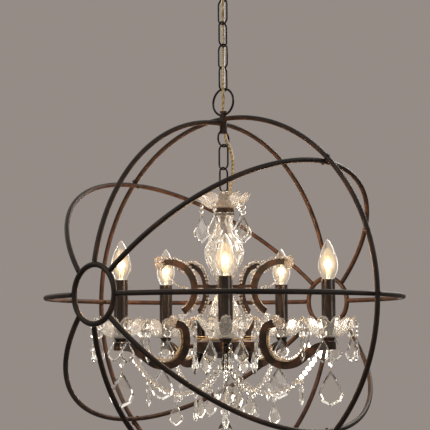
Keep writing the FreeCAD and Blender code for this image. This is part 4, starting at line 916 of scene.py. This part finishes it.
def rosette_beads():
    """Round each blossom of the node: rings of beads (count, radius, lift, bead radius, in mm)."""
    centres, sizes, hearts = [], [], []
    for stone in stones("scroll_rosettes"):
        middle = stone.mean(0)
        across, other, axis = np.linalg.svd(stone - middle, full_matrices=False)[2]
        for count, radius, lift, size in ROSETTE_RINGS:
            angle = (np.arange(count) + lift / 7) * 2 * np.pi / count
            ring = np.cos(angle)[:, None] * across + np.sin(angle)[:, None] * other
            centres.append(middle + ring * radius * MM + axis * lift * MM)
            sizes.append(np.full(count, size))
        hearts.append(middle + axis * 2.6 * MM)
        hearts.append(middle - axis * 2.6 * MM)
    beads = np.vstack(centres)
    obj = bead_set("rosette_beads", beads, np.concatenate(sizes) * MM, BEAD_GLASS)
    bead_wires("rosette_wires", beads, 2.2 * MM)
    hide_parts("scroll_rosettes")
    bead_set("rosette_hearts", hearts, 2.2 * MM, BRASS)


rosette_beads()

# %% [markdown]
# The scrolls carry more beads: a short chain from the tip to the spoke inside the curl, a row under the
# top, two rows over the outside of the back, a crown on the tip and a clump below the end. Their places
# follow from the scroll's circle, whose middle and radius are those of the iron. A thin aged brass wire
# goes round each bead of the rows and the crown.

# %% Scroll beads
SCROLL_RADIUS, SCROLL_MIDDLE, SCROLL_Z = 47 * MM, 102 * MM, -631.3 * MM
CHAIN_CIRCLE, INNER_CIRCLE, OUTER_CIRCLE = 38 * MM, 39.3 * MM, 54.6 * MM
CHAIN_SAG = 11 * MM
BACK_ROWS = (-2.2 * MM, 2.2 * MM)
SPOKE_HALF_ANGLE = 0.13
CROWN_ROWS = ((-4.6, -1.4), (0, 1.2), (4.8, -1.6))
CLUMP = ((0, -4, 0), (-4.5, -6, 2), (4.5, -6, -2), (0, -10, 3), (1, -11, -3), (0, -15, 0))


def on_scroll(angle, radius):
    """(distance from the axis, height) at an angle over the outward level of the scroll's circle."""
    return SCROLL_MIDDLE + radius * np.cos(angle), SCROLL_Z + radius * np.sin(angle)


def in_arm_plane(bearing, distance, height, sideways):
    """Points in the upright plane at a bearing, moved sideways out of it."""
    x = distance * math.cos(bearing) - sideways * math.sin(bearing)
    y = distance * math.sin(bearing) + sideways * math.cos(bearing)
    return np.stack([x, y, height], -1)


def around_arms(distance, height, sideways=0.0):
    """The same places in the upright plane of each arm."""
    distance, height = np.broadcast_arrays(np.asarray(distance, float), np.asarray(height, float))
    return np.vstack([in_arm_plane(bearing, distance, height, sideways) for bearing in BEARINGS])


def scroll_beads():
    """The chain hangs under the straight line from tip to spoke by 4 * sag * share * (1 - share)."""
    share = np.linspace(0.08, 0.94, 13)
    tip, back = on_scroll(math.radians(74), CHAIN_CIRCLE), on_scroll(math.radians(176), CHAIN_CIRCLE)
    chain_r = tip[0] + (back[0] - tip[0]) * share
    chain_z = tip[1] + (back[1] - tip[1]) * share - 4 * CHAIN_SAG * share * (1 - share)
    rows = [around_arms(chain_r, chain_z)]
    back_angle = np.radians(np.arange(128, 234, 7.5))
    back_angle = back_angle[np.abs(back_angle - math.pi) > SPOKE_HALF_ANGLE]
    rows += [around_arms(*on_scroll(back_angle, OUTER_CIRCLE), side) for side in BACK_ROWS]
    rows.append(around_arms(*on_scroll(np.radians(np.arange(82, 126, 8.0)), INNER_CIRCLE)))
    beads = np.vstack(rows)
    bead_set("scroll_beads", beads, 2.7 * MM, BEAD_GLASS)
    bead_wires("scroll_bead_wires", beads, 2.6 * MM)
    crown_r, crown_z = on_scroll(np.radians(np.arange(78, 124, 7.4)), OUTER_CIRCLE)
    crown = np.vstack([around_arms(crown_r, crown_z + lift * MM, side * MM) for side, lift in CROWN_ROWS])
    crown += 0.9 * MM * np.sin(np.arange(crown.size).reshape(crown.shape) * 2.1)
    bead_set("scroll_crowns", crown, 2.4 * MM, BEAD_GLASS)
    bead_wires("scroll_crown_wires", crown, 2.3 * MM)
    end_r, end_z = on_scroll(math.radians(238), SCROLL_RADIUS)
    clump = [around_arms(end_r + out * MM, end_z + up * MM, side * MM) for out, up, side in CLUMP]
    bead_set("scroll_clumps", np.vstack(clump), 3.0 * MM, BEAD_GLASS)


scroll_beads()

# %% [markdown]
# ## Brass trim and bead clips
#
# Two thin brass wires edge the inside of each arm's bend and catch the lamps as pale lines; two more go
# round the hub bowl. In the swags, every two stones are joined by a small brass loop. An arm's corners
# are given as its share of the way out and its height over the hub's rim, in mm.

# %% Arm rims and swag clips
HUB_RIM_Z = -723.8 * MM
ARM_SEAT, ARM_WAY, ARM_HALF = 71.5 * MM, 126.5 * MM, 7 * MM
ARM_CORNERS = [(20 / 126.5, 33), (0.03, 27.1), (-0.01, 7.9), (0.01, -14), (0.11, -33.2), (0.27, -41),
               (0.44, -37.8), (0.61, -21.1), (0.76, -7.8), (1, -6)]


def arm_rims():
    """Wires beside the arm's bend: the bend's line moved to its inner side by half the arm's depth."""
    line = smooth_line([(ARM_SEAT + ARM_WAY * s, HUB_RIM_Z + z * MM) for s, z in ARM_CORNERS], 70)
    slope = np.gradient(line, axis=0)
    slope /= np.linalg.norm(slope, axis=1, keepdims=True)
    inner = line + np.stack([-slope[:, 1], slope[:, 0]], -1) * (ARM_HALF + 0.5 * MM)
    inner = inner[3:-12]
    shapes = [tube(in_arm_plane(bearing, inner[:, 0], inner[:, 1], side), 0.75 * MM)
              for bearing in BEARINGS for side in (-3.4 * MM, 3.4 * MM)]
    obj = clean(mesh_object("arm_rims", *joined(shapes), BRASS))
    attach(obj, "chandelier")


def swag_clips():
    """A loop between each two neighbouring stones of a swag, at the middle of their centres."""
    middles = np.array([s.mean(0) for s in stones("bead_swags")])
    gaps = np.linalg.norm(middles[:, None] - middles[None], axis=2)
    first, second = np.nonzero((gaps > 4 * MM) & (gaps < 10.6 * MM))
    keep = first < second
    first, second = first[keep], second[keep]
    centres = (middles[first] + middles[second]) / 2
    along = middles[second] - middles[first]
    side = np.cross(along, [0, 0, 1.0]) + [1e-6, 0, 0]
    wire_loops("swag_clips", centres, side, 1.5 * MM, 0.4 * MM, "chandelier")


def hub_rims():
    """Two bright wires round the hub bowl, at its rim and at its lower edge."""
    low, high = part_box("hub_bowl")
    heights = (high.z - 1.6 * MM, high.z - 5.2 * MM)
    wire_loops("hub_rims", [(0, 0, z) for z in heights], [(0, 0, 1)] * 2, high.x + 0.3 * MM, 0.5 * MM,
               "chandelier", 96, 8)


arm_rims()
swag_clips()
hub_rims()

# %% [markdown]
# ## Light and background
#
# A glass object needs a quiet background, a few soft lights to mirror, and something darker below. The
# background is the world's own colour, the same for what the camera sees and for what glass and metal
# show level; towards the floor it grows darker and overhead lighter, as in a studio. Large soft lamps
# light the iron, and a few small ones put the sparkle in the crystals.

# %% World and lights
BACKGROUND = (0.302, 0.262, 0.240)


def studio_world():
    """The camera sees the plain background, glass and metal see the ramp, and the rest a soft white."""
    world = bpy.data.worlds.new("studio")
    bpy.context.scene.world = world
    world.use_nodes = True
    tree = world.node_tree
    tree.nodes.clear()
    new = tree.nodes.new
    coordinates, split = new("ShaderNodeTexCoord"), new("ShaderNodeSeparateXYZ")
    ramp, level = new("ShaderNodeValToRGB"), new("ShaderNodeMapRange")
    level.inputs["From Min"].default_value = -1
    tree.links.new(coordinates.outputs["Generated"], split.inputs[0])
    tree.links.new(split.outputs["Z"], level.inputs["Value"])
    tree.links.new(level.outputs["Result"], ramp.inputs["Fac"])
    fill_ramp(ramp.color_ramp.elements, ((0.0, (0.04, 0.035, 0.03)), (0.30, (0.09, 0.08, 0.07)),
                                         (0.44, BACKGROUND), (0.60, BACKGROUND), (0.72, (0.95, 0.90, 0.82)),
                                         (1.0, (1.0, 0.96, 0.9))))
    seen, plain, soft = new("ShaderNodeBackground"), new("ShaderNodeBackground"), new("ShaderNodeBackground")
    plain.inputs["Color"].default_value = (*BACKGROUND, 1)
    soft.inputs["Color"].default_value = (1.0, 0.97, 0.94, 1)
    soft.inputs["Strength"].default_value = 0.36
    tree.links.new(ramp.outputs["Color"], seen.inputs["Color"])
    path = new("ShaderNodeLightPath")
    either = new("ShaderNodeMath")
    either.operation = "MAXIMUM"
    tree.links.new(path.outputs["Is Glossy Ray"], either.inputs[0])
    tree.links.new(path.outputs["Is Transmission Ray"], either.inputs[1])
    first, second = new("ShaderNodeMixShader"), new("ShaderNodeMixShader")
    tree.links.new(either.outputs[0], first.inputs[0])
    tree.links.new(soft.outputs[0], first.inputs[1])
    tree.links.new(seen.outputs[0], first.inputs[2])
    tree.links.new(path.outputs["Is Camera Ray"], second.inputs[0])
    tree.links.new(first.outputs[0], second.inputs[1])
    tree.links.new(plain.outputs[0], second.inputs[2])
    tree.links.new(second.outputs[0], new("ShaderNodeOutputWorld").inputs["Surface"])


def soft_lamp(name, side, height, back, size, power, colour=(1, 1, 1), mirrored=True):
    """A square lamp placed from the orb's centre along the picture's right, up and into the picture."""
    lamp = bpy.data.objects.new(name, bpy.data.lights.new(name, "AREA"))
    lamp.data.size = size
    lamp.data.energy = power
    lamp.data.color = colour
    lamp.visible_camera = False
    lamp.visible_glossy = mirrored
    place = ORB_CENTRE + RIGHT * side + Vector((0, 0, height)) + LOOK * back
    aim = (ORB_CENTRE - place).to_track_quat("-Z", "Y")
    lamp.matrix_world = Matrix.Translation(place) @ aim.to_matrix().to_4x4()
    bpy.context.scene.collection.objects.link(lamp)


studio_world()
soft_lamp("key", -1.6, 1.5, -1.6, 1.5, 24, (1.0, 0.97, 0.92))
soft_lamp("fill", 1.9, 0.5, -1.3, 1.1, 9, (0.98, 0.97, 0.96))
soft_lamp("rim", 1.3, 1.2, 1.7, 0.9, 20, (1.0, 0.96, 0.9))
SPARKS, SPARK_WAY = 6, 1.9
for number in range(SPARKS):
    angle, height = 2 * math.pi * (number + 0.35) / SPARKS, 0.35 + 0.5 * (-1) ** number
    soft_lamp("spark_%d" % number, SPARK_WAY * math.cos(angle), height, SPARK_WAY * math.sin(angle),
              0.14, 2.2, (1.0, 0.9, 0.76))

# Cards stand level round the object, none straight behind it. They shine through the crystals' borders
# but aren't mirrored, which would stripe the sleeves.
CARD_WAY = 1.7
for number in range(ARM_COUNT):
    angle = 2 * math.pi * (number + 0.5) / ARM_COUNT
    soft_lamp("card_%d" % number, CARD_WAY * math.sin(angle), 0.02, CARD_WAY * math.cos(angle),
              0.7, 3.2, (1.0, 0.94, 0.85), False)

FLOOR_Z = -2.1


def floor():
    """A plain pale floor far below, a disc that fades out towards its edge: alpha falls with distance."""
    rings = turned_rings([(0, FLOOR_Z), (1.5, FLOOR_Z), (3, FLOOR_Z), (6, FLOOR_Z)], 48)
    finish = Finish("pale_floor", Roughness=0.8)
    finish.paint(finish.ramp(finish.noise(1.5, 2), [(0.3, (0.40, 0.37, 0.345)), (0.7, (0.43, 0.40, 0.375))]))
    flat = finish.node("ShaderNodeVectorMath", operation="MULTIPLY")
    flat.inputs[1].default_value = (1, 1, 0)
    finish.link(finish.coordinates, flat.inputs[0])
    distance = finish.node("ShaderNodeVectorMath", operation="LENGTH")
    finish.link(flat.outputs[0], distance.inputs[0])
    finish.link(finish.span(distance.outputs["Value"], 1, 0, 0.8, 5.6), finish.shader.inputs["Alpha"])
    clean(mesh_object("floor", rings, grid_faces(4, 48, False, True), finish.material))


floor()
bpy.context.scene.view_settings.view_transform = "Standard"
